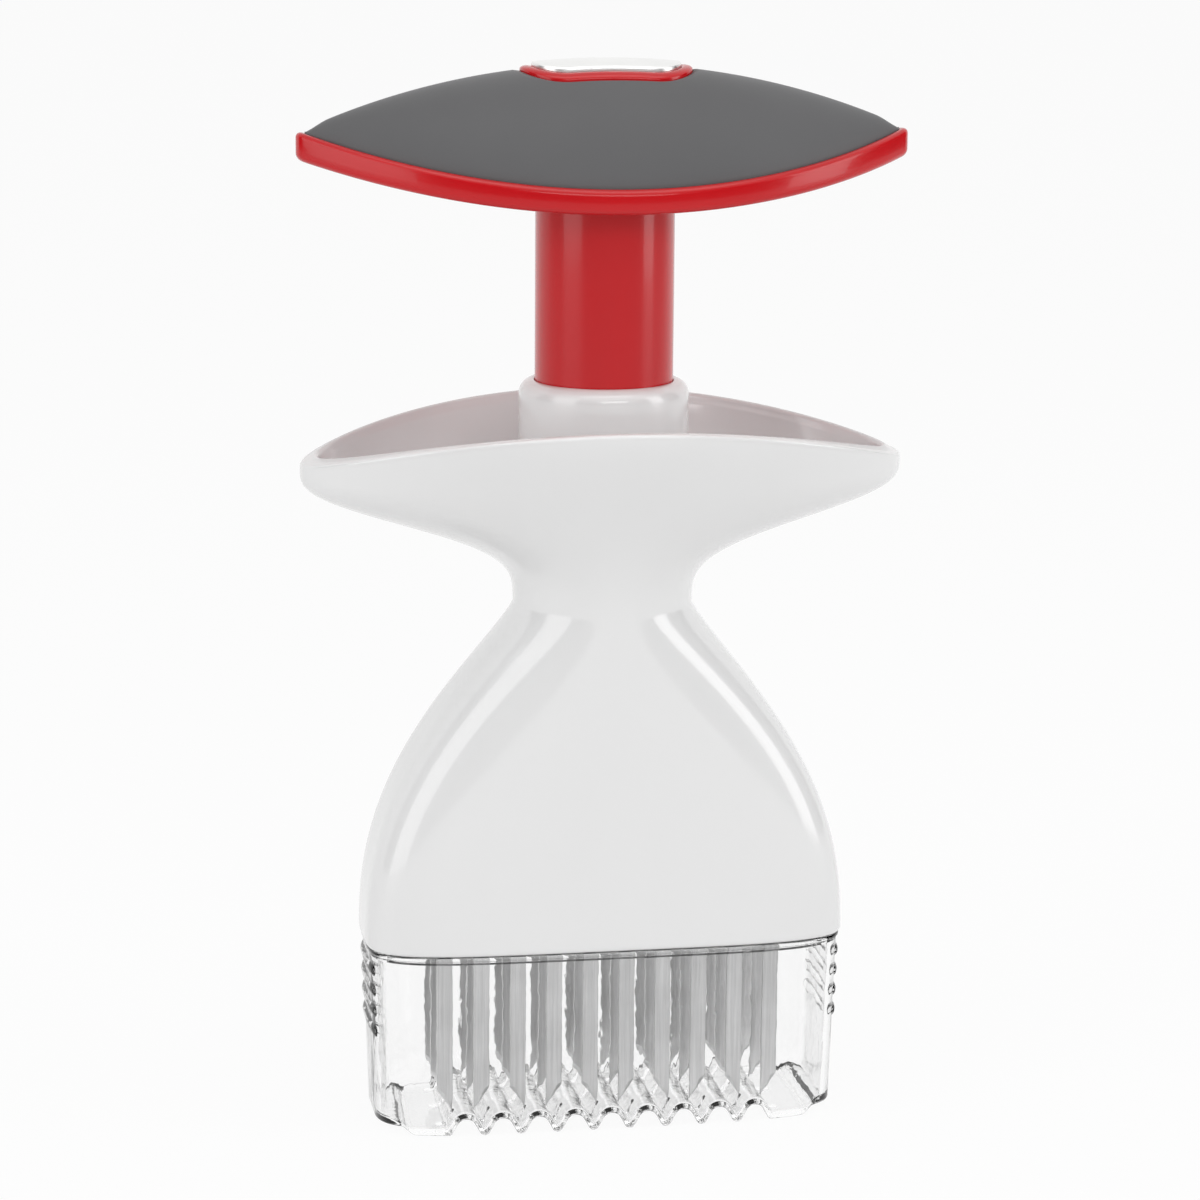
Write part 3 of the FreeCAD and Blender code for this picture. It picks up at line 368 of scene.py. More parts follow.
def grid_mesh(name, points, loop):
    """A closed mesh from a grid of points in millimetres.

    Each row is a closed ring that runs anticlockwise seen from above. The rows join end to end, or else
    the first and last rows end in a pole at their mean. Rows that climb the outside point faces outwards.
    """
    rows, columns, _ = points.shape
    index = np.arange(rows * columns).reshape(rows, columns)
    vertices = points.reshape(-1, 3)
    if loop:
        index = np.vstack([index, index[:1]])
    ahead = np.roll(index, -1, axis=1)
    quads = np.stack([index[:-1], ahead[:-1], ahead[1:], index[1:]], axis=-1).reshape(-1, 4)
    caps = np.empty((0, 3), int)
    if not loop:
        poles = np.array([points[0].mean(axis=0), points[-1].mean(axis=0)])
        first = np.full(columns, len(vertices))
        vertices = np.vstack([vertices, poles])
        caps = np.vstack([np.stack([ahead[0], index[0], first], axis=-1),
                          np.stack([index[-1], ahead[-1], first + 1], axis=-1)])
    corners = vertices[np.vstack([quads[:, :3], quads[:, [0, 2, 3]], caps])]
    if np.sum(corners[:, 0] * np.cross(corners[:, 1], corners[:, 2])) <= 0:
        raise RuntimeError(name + " is inside out")
    mesh = bpy.data.meshes.new(name)
    mesh.from_pydata((vertices * MM).tolist(), [], quads.tolist() + caps.tolist())
    mesh.update()
    mesh.shade_smooth()
    return mesh


def resample(x, y, count):
    """A closed outline at count points, spaced by arc length plus turning so that tight corners get more."""
    dx, dy = np.diff(x), np.diff(y)
    length = np.hypot(dx, dy)
    keep = np.concatenate([[True], length > 1e-9])
    x, y = x[keep], y[keep]
    dx, dy = np.diff(x), np.diff(y)
    length = np.hypot(dx, dy)
    heading = np.unwrap(np.arctan2(dy, dx))
    turn = np.abs(np.diff(np.append(heading, heading[0] + 2 * pi)))
    travel = np.concatenate([[0.0], np.cumsum(length / length.sum() + turn / (2 * pi))])
    goal = travel[-1] * np.arange(count) / count
    return np.stack([np.interp(goal, travel, x), np.interp(goal, travel, y)], axis=-1)


def oval(half_length, half_depth, power_x, power_y):
    """The outline |x/a|^p + |y/b|^q = 1."""
    t = np.linspace(0, 2 * pi, SAMPLES)
    c, s = np.cos(t), np.sin(t)
    c[np.abs(c) < 1e-12] = 0
    s[np.abs(s) < 1e-12] = 0
    return resample(half_length * np.sign(c) * np.abs(c) ** (2 / power_x),
                    half_depth * np.sign(s) * np.abs(s) ** (2 / power_y), COLUMNS)


def lens_depth(x, half_length, half_depth, tip):
    """Half depth at x of a pointed oval: two long arcs, and a round tip at each end."""
    side = (half_length ** 2 - 2 * half_length * tip + half_depth ** 2) / (2 * (half_depth - tip))
    joint = (half_length - tip) * side / (side - tip)
    x = np.minimum(np.abs(x), half_length)
    long_arc = np.sqrt(np.maximum(side ** 2 - x ** 2, 0)) - (side - half_depth)
    end_arc = np.sqrt(np.maximum(tip ** 2 - (x - half_length + tip) ** 2, 0))
    return np.where(x < joint, long_arc, end_arc)


def lens(inset):
    """The head's pointed oval outline, drawn in by inset."""
    length, depth = HEAD["half_length"] - inset, HEAD["half_depth"] - inset
    t = np.linspace(0, 2 * pi, 2 * SAMPLES - 1)
    x = length * np.cos(t)
    y = np.sign(np.round(np.sin(t), 12)) * lens_depth(x, length, depth, max(HEAD["tip"] - inset, 0.4))
    return resample(x, y, COLUMNS)


def pill(inset):
    """The badge island's stadium outline, drawn in by inset: a half circle at each end, flat between."""
    radius = ISLAND["half_depth"] - inset
    flat = ISLAND["half_length"] - ISLAND["half_depth"]
    t = np.linspace(0, 2 * pi, SAMPLES)
    x = radius * np.cos(t) + flat * np.clip(np.cos(t) * 1e6, -1, 1)
    return resample(x, radius * np.sin(t), COLUMNS)


def arc_height(x, middle, tip, reach):
    """Height at x of the arc with the height middle at 0 and tip at reach."""
    rise = tip - middle
    radius = (reach ** 2 + rise ** 2) / (2 * abs(rise))
    return middle + np.sign(rise) * (radius - np.sqrt(radius ** 2 - np.minimum(np.abs(x), reach) ** 2))


def corner(radius, start, end, count=6):
    """Points of an arc about the origin between two angles in degrees."""
    t = np.radians(np.linspace(start, end, count))
    return list(zip(radius * np.cos(t), radius * np.sin(t)))


def revolved(profile):
    """Rings about the upright axis from a profile of (radius, height)."""
    t = 2 * pi * np.arange(COLUMNS) / COLUMNS
    radius, height = np.array(profile).T
    return np.stack([radius[:, None] * np.cos(t), radius[:, None] * np.sin(t),
                     np.repeat(height[:, None], COLUMNS, axis=1)], axis=-1)


# White body

def body_outline(z):
    """The body's oval at one height, as half length, half depth and two powers: a superellipse in the hood,
    a circle at the neck and a pointed oval in the bowl."""
    if z <= NECK["height"]:
        t = max((z - HOOD["bottom"]) / (NECK["height"] - HOOD["bottom"]), 0)
        share = (1 - t ** HOOD["curve"][0]) ** HOOD["curve"][1]
        power = 2 + (HOOD["power"] - 2) * share
        return (NECK["radius"] + (HOOD["half_length"] - NECK["radius"]) * share,
                NECK["radius"] + (HOOD["half_depth"] - NECK["radius"]) * share, power, power)

    def share_at(top, curve):
        t = min((z - NECK["height"]) / (top - NECK["height"]), 1)
        return 1 - (1 - t ** curve[0]) ** curve[1]

    along = share_at(BOWL["tip_height"], BOWL["curve"])
    across = share_at(BOWL["rim_mid"], BOWL["depth_curve"])
    return (NECK["radius"] + (BOWL["half_length"] - NECK["radius"]) * along,
            NECK["radius"] + (BOWL["half_depth"] - NECK["radius"]) * across,
            2.0, 2 + (BOWL["tip_power"] - 2) * along)


def stack(outlines, heights):
    """A lookup of outlines over evenly spaced heights: for heights (rows, columns) it gives x and y."""
    table = np.array(outlines)
    low, step = heights[0], heights[1] - heights[0]
    columns = np.arange(COLUMNS)

    def at(z):
        place = np.clip((z - low) / step, 0, len(heights) - 1.000001)
        row = place.astype(int)
        part = (place - row)[..., None]
        return table[row, columns] * (1 - part) + table[row + 1, columns] * part
    return at


def level(xy, z):
    """One row: x and y with a height, a number or one for each point."""
    return np.concatenate([xy, np.broadcast_to(z, (len(xy),))[:, None]], axis=1)


def bowl_rim(x):
    """Height of the finger bowl's arched rim over x."""
    return arc_height(x, BOWL["rim_mid"], BOWL["rim_tip"], BOWL["half_length"] + 1)


def rim_heights(outline_at):
    """Heights at which a skin of outlines meets the arched rim, by stepping halfway to it again and again."""
    top = np.full(COLUMNS, BOWL["rim_mid"])
    for _ in range(30):
        top = 0.5 * (top + bowl_rim(outline_at(top)[:, 0]))
    return top


def body_rows(lip_share, bowl_round):
    """The body as one skin: under the shelf, down the hood's inside, round its edge, up hood, neck and bowl,
    over the bowl's rim, down its inside, up the collar, over its lip and down the bore to the shelf."""
    wall = HOOD["wall"]
    shelf_low, shelf_high = NECK["shelf"]
    heights = np.linspace(HOOD["bottom"], shelf_low, 80)

    def inside_hood(z):
        a, b, p, q = body_outline(z)
        return oval(a - wall, b - wall, p, q)

    inner = stack([inside_hood(z) for z in heights], heights)
    rows = [level(oval(NECK["bush"], NECK["bush"], 2, 2), shelf_low)]
    rows.append(level(inner(np.full(COLUMNS, shelf_low)) * 0.985, shelf_low))
    for z in np.linspace(shelf_low - 0.4, HOOD["bottom"] + wall / 2, 40):
        rows.append(level(inner(np.full(COLUMNS, z)), z))
    edge = HOOD["edge"]
    a, b, p, q = body_outline(HOOD["bottom"] + edge)
    for dx, dz in corner(edge, 180, 270):
        rows.append(level(oval(a - wall + edge + dx, b - wall + edge + dx, p, q), HOOD["bottom"] + edge + dz))
    for dx, dz in corner(edge, 270, 360):
        rows.append(level(oval(a - edge + dx, b - edge + dx, p, q), HOOD["bottom"] + edge + dz))
    for z in np.linspace(HOOD["bottom"] + 2 * edge, NECK["height"], 70):
        rows.append(level(oval(*body_outline(z)), z))

    heights = np.linspace(NECK["height"], BOWL["rim_mid"] + 2, 180)
    outer = stack([oval(*body_outline(z)) for z in heights], heights)
    top = rim_heights(outer)
    for share in np.linspace(0, 1, 60)[1:]:
        z = NECK["height"] + (top - bowl_round - NECK["height"]) * share
        rows.append(level(outer(z), z))

    wall = BOWL["wall"]
    heights = np.linspace(BOWL["floor"], BOWL["rim_mid"] + 2, 180)

    def inside_bowl(z):
        a, _, _, q = body_outline(z - wall)
        opened = (a - NECK["radius"]) / (BOWL["half_length"] - NECK["radius"])
        return oval(a - wall / 2 - BOWL["tip_extra"] * opened, body_outline(z)[1] - wall, 2, q)

    hollow = stack([inside_bowl(z) for z in heights], heights)
    inner_top = rim_heights(hollow)
    outer_edge, inner_edge = outer(top), hollow(inner_top)
    across = outer_edge - inner_edge
    width = np.linalg.norm(across, axis=1, keepdims=True)
    across /= np.maximum(width, 1e-6)
    round_by = np.minimum(bowl_round, width[:, 0] * 0.45)
    for dx, dz in corner(1.0, 0, 90)[1:]:
        shift = (round_by * (1 - dx))[:, None]
        rows.append(level(outer_edge - across * shift, top - round_by * (1 - dz)))
    for dx, dz in corner(1.0, 90, 180):
        shift = (round_by * (1 + dx))[:, None]
        rows.append(level(inner_edge + across * shift, inner_top - round_by * (1 - dz)))

    grid = np.stack([hollow(np.full(COLUMNS, z)) for z in heights])
    reach = np.linalg.norm(grid, axis=2)
    start = np.argmax(reach > COLLAR["radius"] + 0.02, axis=0)
    floor = heights[start]
    for share in np.linspace(1, 0, 60)[1:]:
        z = floor + (inner_top - bowl_round - floor) * share ** 1.3
        rows.append(level(hollow(z), z))

    lip = (COLLAR["radius"] - COLLAR["bore"]) * lip_share
    ring = oval(1, 1, 2, 2)
    high = COLLAR["top"] - lip
    for share in np.linspace(0, 1, 16):
        z = floor + 0.05 + (high - floor - 0.05) * share
        rows.append(level(ring * COLLAR["radius"], z))
    for dx, dz in corner(lip, 0, 90, 14)[1:]:
        rows.append(level(ring * (COLLAR["radius"] - lip + dx), high + dz))
    inner_lip = COLLAR["radius"] - lip - COLLAR["bore"]
    for dx, dz in corner(inner_lip, 90, 180, 4)[1:]:
        rows.append(level(ring * (COLLAR["radius"] - lip + dx), COLLAR["top"] - inner_lip + dz))
    for z in np.linspace(high - 1, shelf_high, 6):
        rows.append(level(ring * COLLAR["bore"], z))
    rows.append(level(ring * NECK["bush"], shelf_high))
    return np.array(rows)


# Head

def rim_bottom(x):
    """Height of the head's lower edge over x."""
    return arc_height(x, HEAD["underside"], HEAD["underside"] + HEAD["lift"], HEAD["half_length"])


def rim_top(x):
    """Height of the red rim's upper edge over x."""
    high = HEAD["underside"] + HEAD["band"]
    return arc_height(x, high, high + HEAD["lift"] + HEAD["tip_extra"], HEAD["half_length"])


def dome(xy, inset=0.0, sink=0.0):
    """Height of the dome at x, y: rim + rise * (1 - (y / w)^2)^0.75, with w the outline's half depth at x.
    The rise fades to its least value along a quarter circle towards each tip."""
    x, y = xy[:, 0], xy[:, 1]
    rim = HEAD["rim"] + inset
    length, depth = HEAD["half_length"] - rim, HEAD["half_depth"] - rim
    tip = max(HEAD["tip"] - HEAD["rim"], 0.6)
    width = np.maximum(lens_depth(x, length, depth, tip), 1e-3)
    base = rim_top(x)
    crest = arc_height(x, HEAD["crest"], HEAD["crest"] - HEAD["crest_drop"], HEAD["half_length"])
    near = np.clip((length - np.abs(x)) / HEAD["fade"], 0, 1)
    rise = np.maximum((crest - base - sink) * np.sqrt(near * (2 - near)), HEAD["least_rise"])
    share = np.clip(1 - (y / width) ** 2, 0, 1)
    return base + rise * share ** HEAD["power"]


def between(outer_xy, inner_xy, share):
    """An outline between two, share of the way in."""
    return outer_xy * (1 - share) + inner_xy * share


def eased(count, power=1.8):
    """Shares from 0 to 1, closer together near 0."""
    return np.linspace(0, 1, count) ** power


def head_rows(rim_round, bead_height):
    """The red head as one skin: hollow, rim wall and band, groove, core under the pad, bead, badge recess."""
    rows = []
    deep = HEAD["pad"] + HEAD["wall"]
    inner = lens(HEAD["rim"] + deep)
    for share in eased(24)[::-1][1:]:
        xy = inner * (1 - share)
        rows.append(level(xy, dome(xy, deep, deep)))
    wall = lens(HEAD["rim"] + HEAD["wall"])
    rows.append(level(wall, rim_top(wall[:, 0])))
    rows.append(level(wall, rim_bottom(wall[:, 0])))
    small = HEAD["low_round"]
    for dx, dz in corner(small, 270, 360, 8):
        xy = lens(small - dx)
        rows.append(level(xy, rim_bottom(xy[:, 0]) + small + dz))
    for dx, dz in corner(rim_round, 0, 90, 8):
        xy = lens(rim_round - dx)
        rows.append(level(xy, rim_top(xy[:, 0]) - rim_round + dz))
    groove = HEAD["groove_round"]
    for dx, dz in corner(groove, 90, 180, 4):
        xy = lens(HEAD["rim"] - groove - dx)
        rows.append(level(xy, rim_top(xy[:, 0]) - groove + dz))
    xy = lens(HEAD["rim"])
    rows.append(level(xy, rim_top(xy[:, 0]) - HEAD["sink"]))
    core = lens(HEAD["rim"] + HEAD["pad"])
    rows.append(level(core, rim_top(core[:, 0]) - HEAD["sink"]))
    island = pill(0)
    for share in eased(24)[1:]:
        xy = between(core, island, share)
        rows.append(level(xy, dome(xy, HEAD["pad"], HEAD["pad"])))
    rows.append(level(island, dome(island) - 0.1))
    for t in np.linspace(0, pi, 13):
        xy = pill(ISLAND["rim"] / 2 * (1 - cos(t)))
        rows.append(level(xy, dome(xy) + bead_height * sin(t) ** 0.8))
    inner_pill = pill(ISLAND["rim"])
    floor = HEAD["crest"] - ISLAND["depth"]
    rows.append(level(inner_pill, floor))
    for share in (0.5, 0.9):
        rows.append(level(inner_pill * (1 - share), floor))
    return np.array(rows)


def pad_rows():
    """The grey pad: up its edge, over the dome to the island, down the hole and back underneath."""
    rows = []
    outer, island = lens(HEAD["rim"] + PAD_GAP["rim"]), pill(-PAD_GAP["island"])
    gap = PAD_GAP["core"]
    rows.append(level(outer, rim_top(outer[:, 0]) - HEAD["sink"] + gap))
    rows.append(level(outer, rim_top(outer[:, 0]) - 0.5))
    for share in eased(72, 2.2)[1:]:
        xy = between(outer, island, share)
        rows.append(level(xy, dome(xy) - (0.25 if share == 1 else 0)))
    rows.append(level(island, dome(island) - HEAD["pad"] + PAD_GAP["rim"]))
    core = lens(HEAD["rim"] + HEAD["pad"] - gap)
    for share in eased(30, 2.2)[::-1]:
        xy = between(core, island, share)
        rows.append(level(xy, dome(xy, HEAD["pad"] - gap, HEAD["pad"] - gap)))
    rows.append(level(core, rim_top(core[:, 0]) - HEAD["sink"] + gap))
    return np.array(rows)


def badge_rows(rise):
    """The bare silver pill: underside, side wall, rounded edge and a face that follows the dome."""
    edge = 0.35
    rows = []
    inset = ISLAND["rim"] + ISLAND["gap"]
    outline = pill(inset)
    floor = HEAD["crest"] - ISLAND["depth"]
    for scale in (0.1, 0.6, 1.0):
        rows.append(level(outline * scale, floor))
    for dx, dz in corner(edge, 0, 90, 7):
        xy = pill(inset + edge - dx)
        rows.append(level(xy, dome(xy) + rise - edge + dz))
    last = pill(inset + edge)
    for scale in np.linspace(1, 0.04, 16)[1:]:
        rows.append(level(last * scale, dome(last * scale) + rise))
    return np.array(rows)


def spring_grid():
    """A round wire on a helix of even pitch: rings square to the helix, one after the other."""
    along = np.linspace(0, 1, SPRING["turns"] * 40)
    room = SPRING["wire"] + SPRING["gap"]
    low, high = SPRING["bottom"] + room, SPRING["top"] - room
    angle = 2 * pi * SPRING["turns"] * along
    z = low + (high - low) * along
    centre = np.stack([SPRING["radius"] * np.cos(angle), SPRING["radius"] * np.sin(angle), z], axis=-1)
    tangent = np.gradient(centre, axis=0)
    tangent /= np.linalg.norm(tangent, axis=1, keepdims=True)
    out = np.stack([np.cos(angle), np.sin(angle), 0 * angle], axis=-1)
    side = np.cross(tangent, out)
    turn = 2 * pi * np.arange(12) / 12
    ring = out[:, None] * np.cos(turn)[:, None] + side[:, None] * np.sin(turn)[:, None]
    return centre[:, None] + SPRING["wire"] * ring


# Guard

def wave(x, offset=0.0):
    """The floor's lower line over x, moved up square to itself by offset.

    Round arches and round teeth joined by straight flanks tangent to both; past the last arch the line
    runs down to a flat foot, then eases up to a low shoulder at each end.
    """
    half = GUARD["pitch"] / 2
    arch, tooth = GUARD["arch"], GUARD["tooth"]
    both = arch + tooth
    low = both - GUARD["arch_height"]
    slope = np.arctan2(half, low) - np.arccos(both / np.hypot(low, half))
    arch_centre, tooth_centre = GUARD["arch_height"] - arch, tooth
    arch, tooth = arch + offset, max(tooth - offset, 0.01)
    last = (GUARD["arches"] - 1) / 2 * GUARD["pitch"]
    ax = np.abs(x)
    inside = ax < last
    u = np.abs((ax + half) % GUARD["pitch"] - half)
    u = np.where(inside, u, ax - last)
    side = arch * np.sin(slope)
    z = arch_centre + arch * np.cos(slope) - (u - side) * np.tan(slope)
    z = np.where(u < side, arch_centre + np.sqrt(np.maximum(arch ** 2 - u ** 2, 0)), z)
    v = half - u
    deep = tooth_centre - np.sqrt(np.maximum(tooth ** 2 - v ** 2, 0))
    z = np.where(inside & (np.abs(v) < tooth * np.sin(slope)), deep, z)
    soft = 0.25
    above = z - offset
    foot = 0.5 * (z + offset + np.sqrt(above ** 2 + soft ** 2)) - 0.5 * soft * soft / (np.abs(above) + 1)
    z = np.where(inside, z, np.maximum(foot, offset))
    start = last + side + GUARD["arch_height"] / np.tan(slope) + GUARD["foot"] - 1.0
    rise = np.clip((ax - start) / 2.4, 0, 1)
    return z + GUARD["shoulder"] * rise ** 2 * (3 - 2 * rise)


def guard_length(z, inset):
    """Half length of the guard's wall at a height, with its draft."""
    return HOOD["half_length"] - GUARD["inset"] - inset - GUARD["draft"] * (1 - z / HOOD["bottom"])


def guard_depth(x, z, inset):
    """Half depth of the guard's wall at x and z: the superellipse of its section there."""
    depth = HOOD["half_depth"] - GUARD["inset"] - inset - GUARD["draft"] / 2 * (1 - z / HOOD["bottom"])
    share = np.clip(np.abs(x) / guard_length(z, inset), 0, 1)
    return depth * (1 - share ** HOOD["power"]) ** (1 / HOOD["power"])


def guard_tray():
    """Walls and corrugated floor as one skin: for each x, a ring through the underside, the outer walls,
    their tops, the inner walls and the floor's upper side; where the hollow has run out it closes."""
    even = GUARD["even"]
    fine = np.arange(-even, even + 0.001, 0.2)
    ends = []
    for z, inset in ((0.0, 0.0), (even, 0.0), (0.0, GUARD["wall"]), (even, GUARD["wall"])):
        reach = guard_length(z, inset)
        ends.append(reach * np.sin(np.linspace(0.9, pi / 2, 22)))
    ends = np.unique(np.round(np.concatenate(ends + [np.linspace(even + 0.2, even + 5, 16)]), 3))
    ends = ends[(ends > even + 0.1) & (ends < guard_length(even, 0.0) - 0.0005)]
    x = np.concatenate([-ends[::-1], fine, ends])[:, None]
    top = GUARD["seat"] - GUARD["lip"]
    outer_low, inner_low = wave(x), wave(x, GUARD["floor"])
    draft_rise = HOOD["bottom"] / GUARD["draft"]
    closed_below = (np.abs(x) - guard_length(0.0, 0.0)) * draft_rise
    outer_low = np.minimum(np.maximum(outer_low, closed_below), top - 0.001)
    closed_below = (np.abs(x) - guard_length(0.0, GUARD["wall"])) * draft_rise
    inner_low = np.minimum(np.maximum(inner_low, closed_below), top - 0.0005)

    parts = []
    for share in np.linspace(0, 1, 8)[:-1]:
        parts.append((guard_depth(x, outer_low, 0) * share * 0.94, outer_low))
    edge = np.minimum(GUARD["outer_edge"], guard_depth(x, outer_low, 0) * 0.06 + 0.02)
    for dx, dz in corner(1.0, 270, 360, 5):
        z = np.minimum(outer_low + edge * (1 + dz), top)
        parts.append((np.maximum(guard_depth(x, z, 0) - edge * (1 - dx), 0), z))
    for share in np.linspace(0, 1, 7)[1:]:
        z = outer_low + edge + (top - outer_low - edge) * share
        parts.append((guard_depth(x, z, 0), np.minimum(z, top)))
    edge = GUARD["inner_edge"]
    for share in np.linspace(1, 0, 7):
        z = inner_low + edge + (top - inner_low - edge) * share
        z = np.clip(z, inner_low, top)
        parts.append((guard_depth(x, z, GUARD["wall"]), z))
    for dx, dz in corner(1.0, 0, -90, 5)[1:]:
        z = np.minimum(inner_low + edge * (1 + dz), top)
        parts.append((np.maximum(guard_depth(x, z, GUARD["wall"]) - edge * (1 - dx), 0), z))
    for share in np.linspace(0.9, 0, 7)[1:]:
        parts.append((guard_depth(x, inner_low, GUARD["wall"]) * share, inner_low))
    y = np.concatenate([p[0] for p in parts], axis=1)
    z = np.concatenate([np.broadcast_to(p[1], p[0].shape) for p in parts], axis=1)
    y = np.concatenate([y, -y[:, -2:0:-1]], axis=1)
    z = np.concatenate([z, z[:, -2:0:-1]], axis=1)
    return np.stack([np.broadcast_to(x, y.shape), y, z], axis=-1)


def guard_ring():
    """Rim inside the hood, flange under the hood's edge and the ledge that joins them to the walls."""
    power = HOOD["power"]
    rim = HOOD["wall"] + GUARD["rim_gap"]
    seat, top, flange = GUARD["seat"], GUARD["top"], GUARD["flange"]
    lip, crown = GUARD["lip"], GUARD["crown"]

    def ring(inset, z):
        return level(oval(HOOD["half_length"] - inset, HOOD["half_depth"] - inset, power, power), z)

    mouth = rim + GUARD["wall"]
    body = GUARD["inset"] + 0.25
    rows = [ring(mouth, GUARD["ledge"]), ring(body, GUARD["ledge"]), ring(body, seat - flange)]
    edge = GUARD["inset"] / 2
    for dx, dz in corner(lip, 270, 360, 4) + corner(lip, 0, 90, 4):
        shift = seat - flange + lip if dz < 0 else seat - lip
        rows.append(ring(edge + lip - dx, shift + dz))
    rows += [ring(rim, seat), ring(rim, top - crown)]
    for dx, dz in corner(crown, 0, 180, 7):
        rows.append(ring(rim + GUARD["wall"] / 2 - dx * 1.4, top - crown + dz))
    rows.append(ring(mouth, top - 0.5))
    return np.array(rows)


def grip_ribs():
    """Rounded bars on both ends: a superellipse in plan, round in height, one after the other."""
    bars = []
    for end in (-1, 1):
        for k in range(GUARD["ribs"]):
            z = GUARD["rib_top"] - GUARD["rib_radius"] - k * GUARD["rib_pitch"]
            radius = GUARD["rib_radius"]
            middle = end * (guard_length(z, 0.0) + GUARD["rib_proud"] - radius)
            rows = []
            for t in np.linspace(-pi / 2 + 0.12, pi / 2 - 0.12, 9):
                outline = oval(radius * cos(t), GUARD["rib_half"] - 0.8 * (1 - cos(t)), 2.4, 2.8)[::COARSE]
                rows.append(level(outline + [middle, 0], z + radius * sin(t)))
            bars.append(np.array(rows))
    return bars


def blade_places():
    """Node name, x, y and point side of every blade; the points change side from column to column."""
    for row, y in BLADE["rows"].items():
        for column in range(BLADE["columns"]):
            x = (column - (BLADE["columns"] - 1) / 2) * GUARD["pitch"]
            yield "blade_%s_%02d" % (row, column + 1), x, y, 1 if column % 2 == 0 else -1


def blade_rows(x, y, side):
    """A flat strip with eased edges: rings of eight points at rising heights. The point slants from one
    edge to the other and is ground from the front; a wider head hangs in the carrier."""
    half, thick, ease = BLADE["width"] / 2, BLADE["thickness"] / 2, BLADE["ease"]
    tip, point, neck = BLADE["tip"], BLADE["point"], BLADE["top"] - BLADE["head_height"]
    levels = [(tip, 0.04, 1.0), (tip + 0.25, 0.10, 1.0), (tip + point, 1.0, 1.0),
              (tip + point + 0.7, 1.0, 0.0), (neck - 0.01, 1.0, 0.0)]
    rows = []
    for z, share, ground in levels:
        fixed, slant = half, half - 2 * half * share
        bevel = min(BLADE["bevel"], half * share) * ground
        e = min(ease, half * share * 0.5)
        outline = [(fixed, -thick + e), (fixed, thick - e), (fixed - e, thick), (slant + e, thick),
                   (slant, thick - e), (slant, -thick + e + ground * (2 * thick - 3 * e)),
                   (slant + e + bevel, -thick), (fixed - e, -thick)]
        rows.append([(x + side * px, y + py, z) for px, py in outline])
    head = BLADE["head_width"] / 2
    for z in (neck, BLADE["top"]):
        outline = [(head, -thick + ease), (head, thick - ease), (head - ease, thick), (ease - head, thick),
                   (-head, thick - ease), (-head, ease - thick), (ease - head, -thick), (head - ease, -thick)]
        rows.append([(x + side * px, y + py, z) for px, py in outline])
    rows = np.array(rows)
    return rows if side > 0 else rows[:, ::-1]


# Operators

class OBJECT_OT_tenderizer_body(bpy.types.Operator):
    """Build the white body: hood, neck, finger bowl and collar"""
    bl_idname = "object.tenderizer_body"
    bl_label = "White Body"

    def execute(self, context):
        sizes = context.scene.tenderizer_sizes
        rows = body_rows(sizes.lip_share, sizes.bowl_round / MM)
        surface(context, "white_body", rows, "white_plastic", "body", ["body_shell"])
        return {"FINISHED"}


class OBJECT_OT_tenderizer_head(bpy.types.Operator):
    """Build the head: red shell, grey pad and bare badge"""
    bl_idname = "object.tenderizer_head"
    bl_label = "Head"

    def execute(self, context):
        sizes = context.scene.tenderizer_sizes
        surface(context, "red_head", head_rows(sizes.rim_round / MM, sizes.bead_height / MM), "red_plastic",
                "plunger", ["head_shell"], loop=False)
        surface(context, "grey_palm_pad", pad_rows(), "grey_pad", "plunger", ["palm_pad"])
        surface(context, "silver_badge_plate", badge_rows(sizes.badge_rise / MM), "silver_badge", "plunger",
                ["badge_plate"], loop=False)
        return {"FINISHED"}


class OBJECT_OT_tenderizer_tube(bpy.types.Operator):
    """Build the red tube and the return spring inside it"""
    bl_idname = "object.tenderizer_tube"
    bl_label = "Tube and Spring"

    def execute(self, context):
        edge, hole, cap = TUBE["edge"], TUBE["hole"], TUBE["top"] - TUBE["cap"]
        low = TUBE["bottom"] + edge
        profile = [(TUBE["bore"] + edge + dx, low + dz) for dx, dz in corner(edge, 180, 270)]
        profile += [(TUBE["radius"] - edge + dx, low + dz) for dx, dz in corner(edge, 270, 360)]
        profile += [(TUBE["radius"], z) for z in np.linspace(TUBE["bottom"] + 2, TUBE["top"], 12)]
        profile += [(hole, TUBE["top"]), (hole, cap), (TUBE["bore"], cap)]
        surface(context, "red_tube", revolved(profile), "red_plastic", "plunger", ["plunger_tube"])
        coil = surface(context, "coil_spring", spring_grid(), "spring_steel", "body", ["return_spring"],
                       loop=False)
        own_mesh(coil)
        return {"FINISHED"}


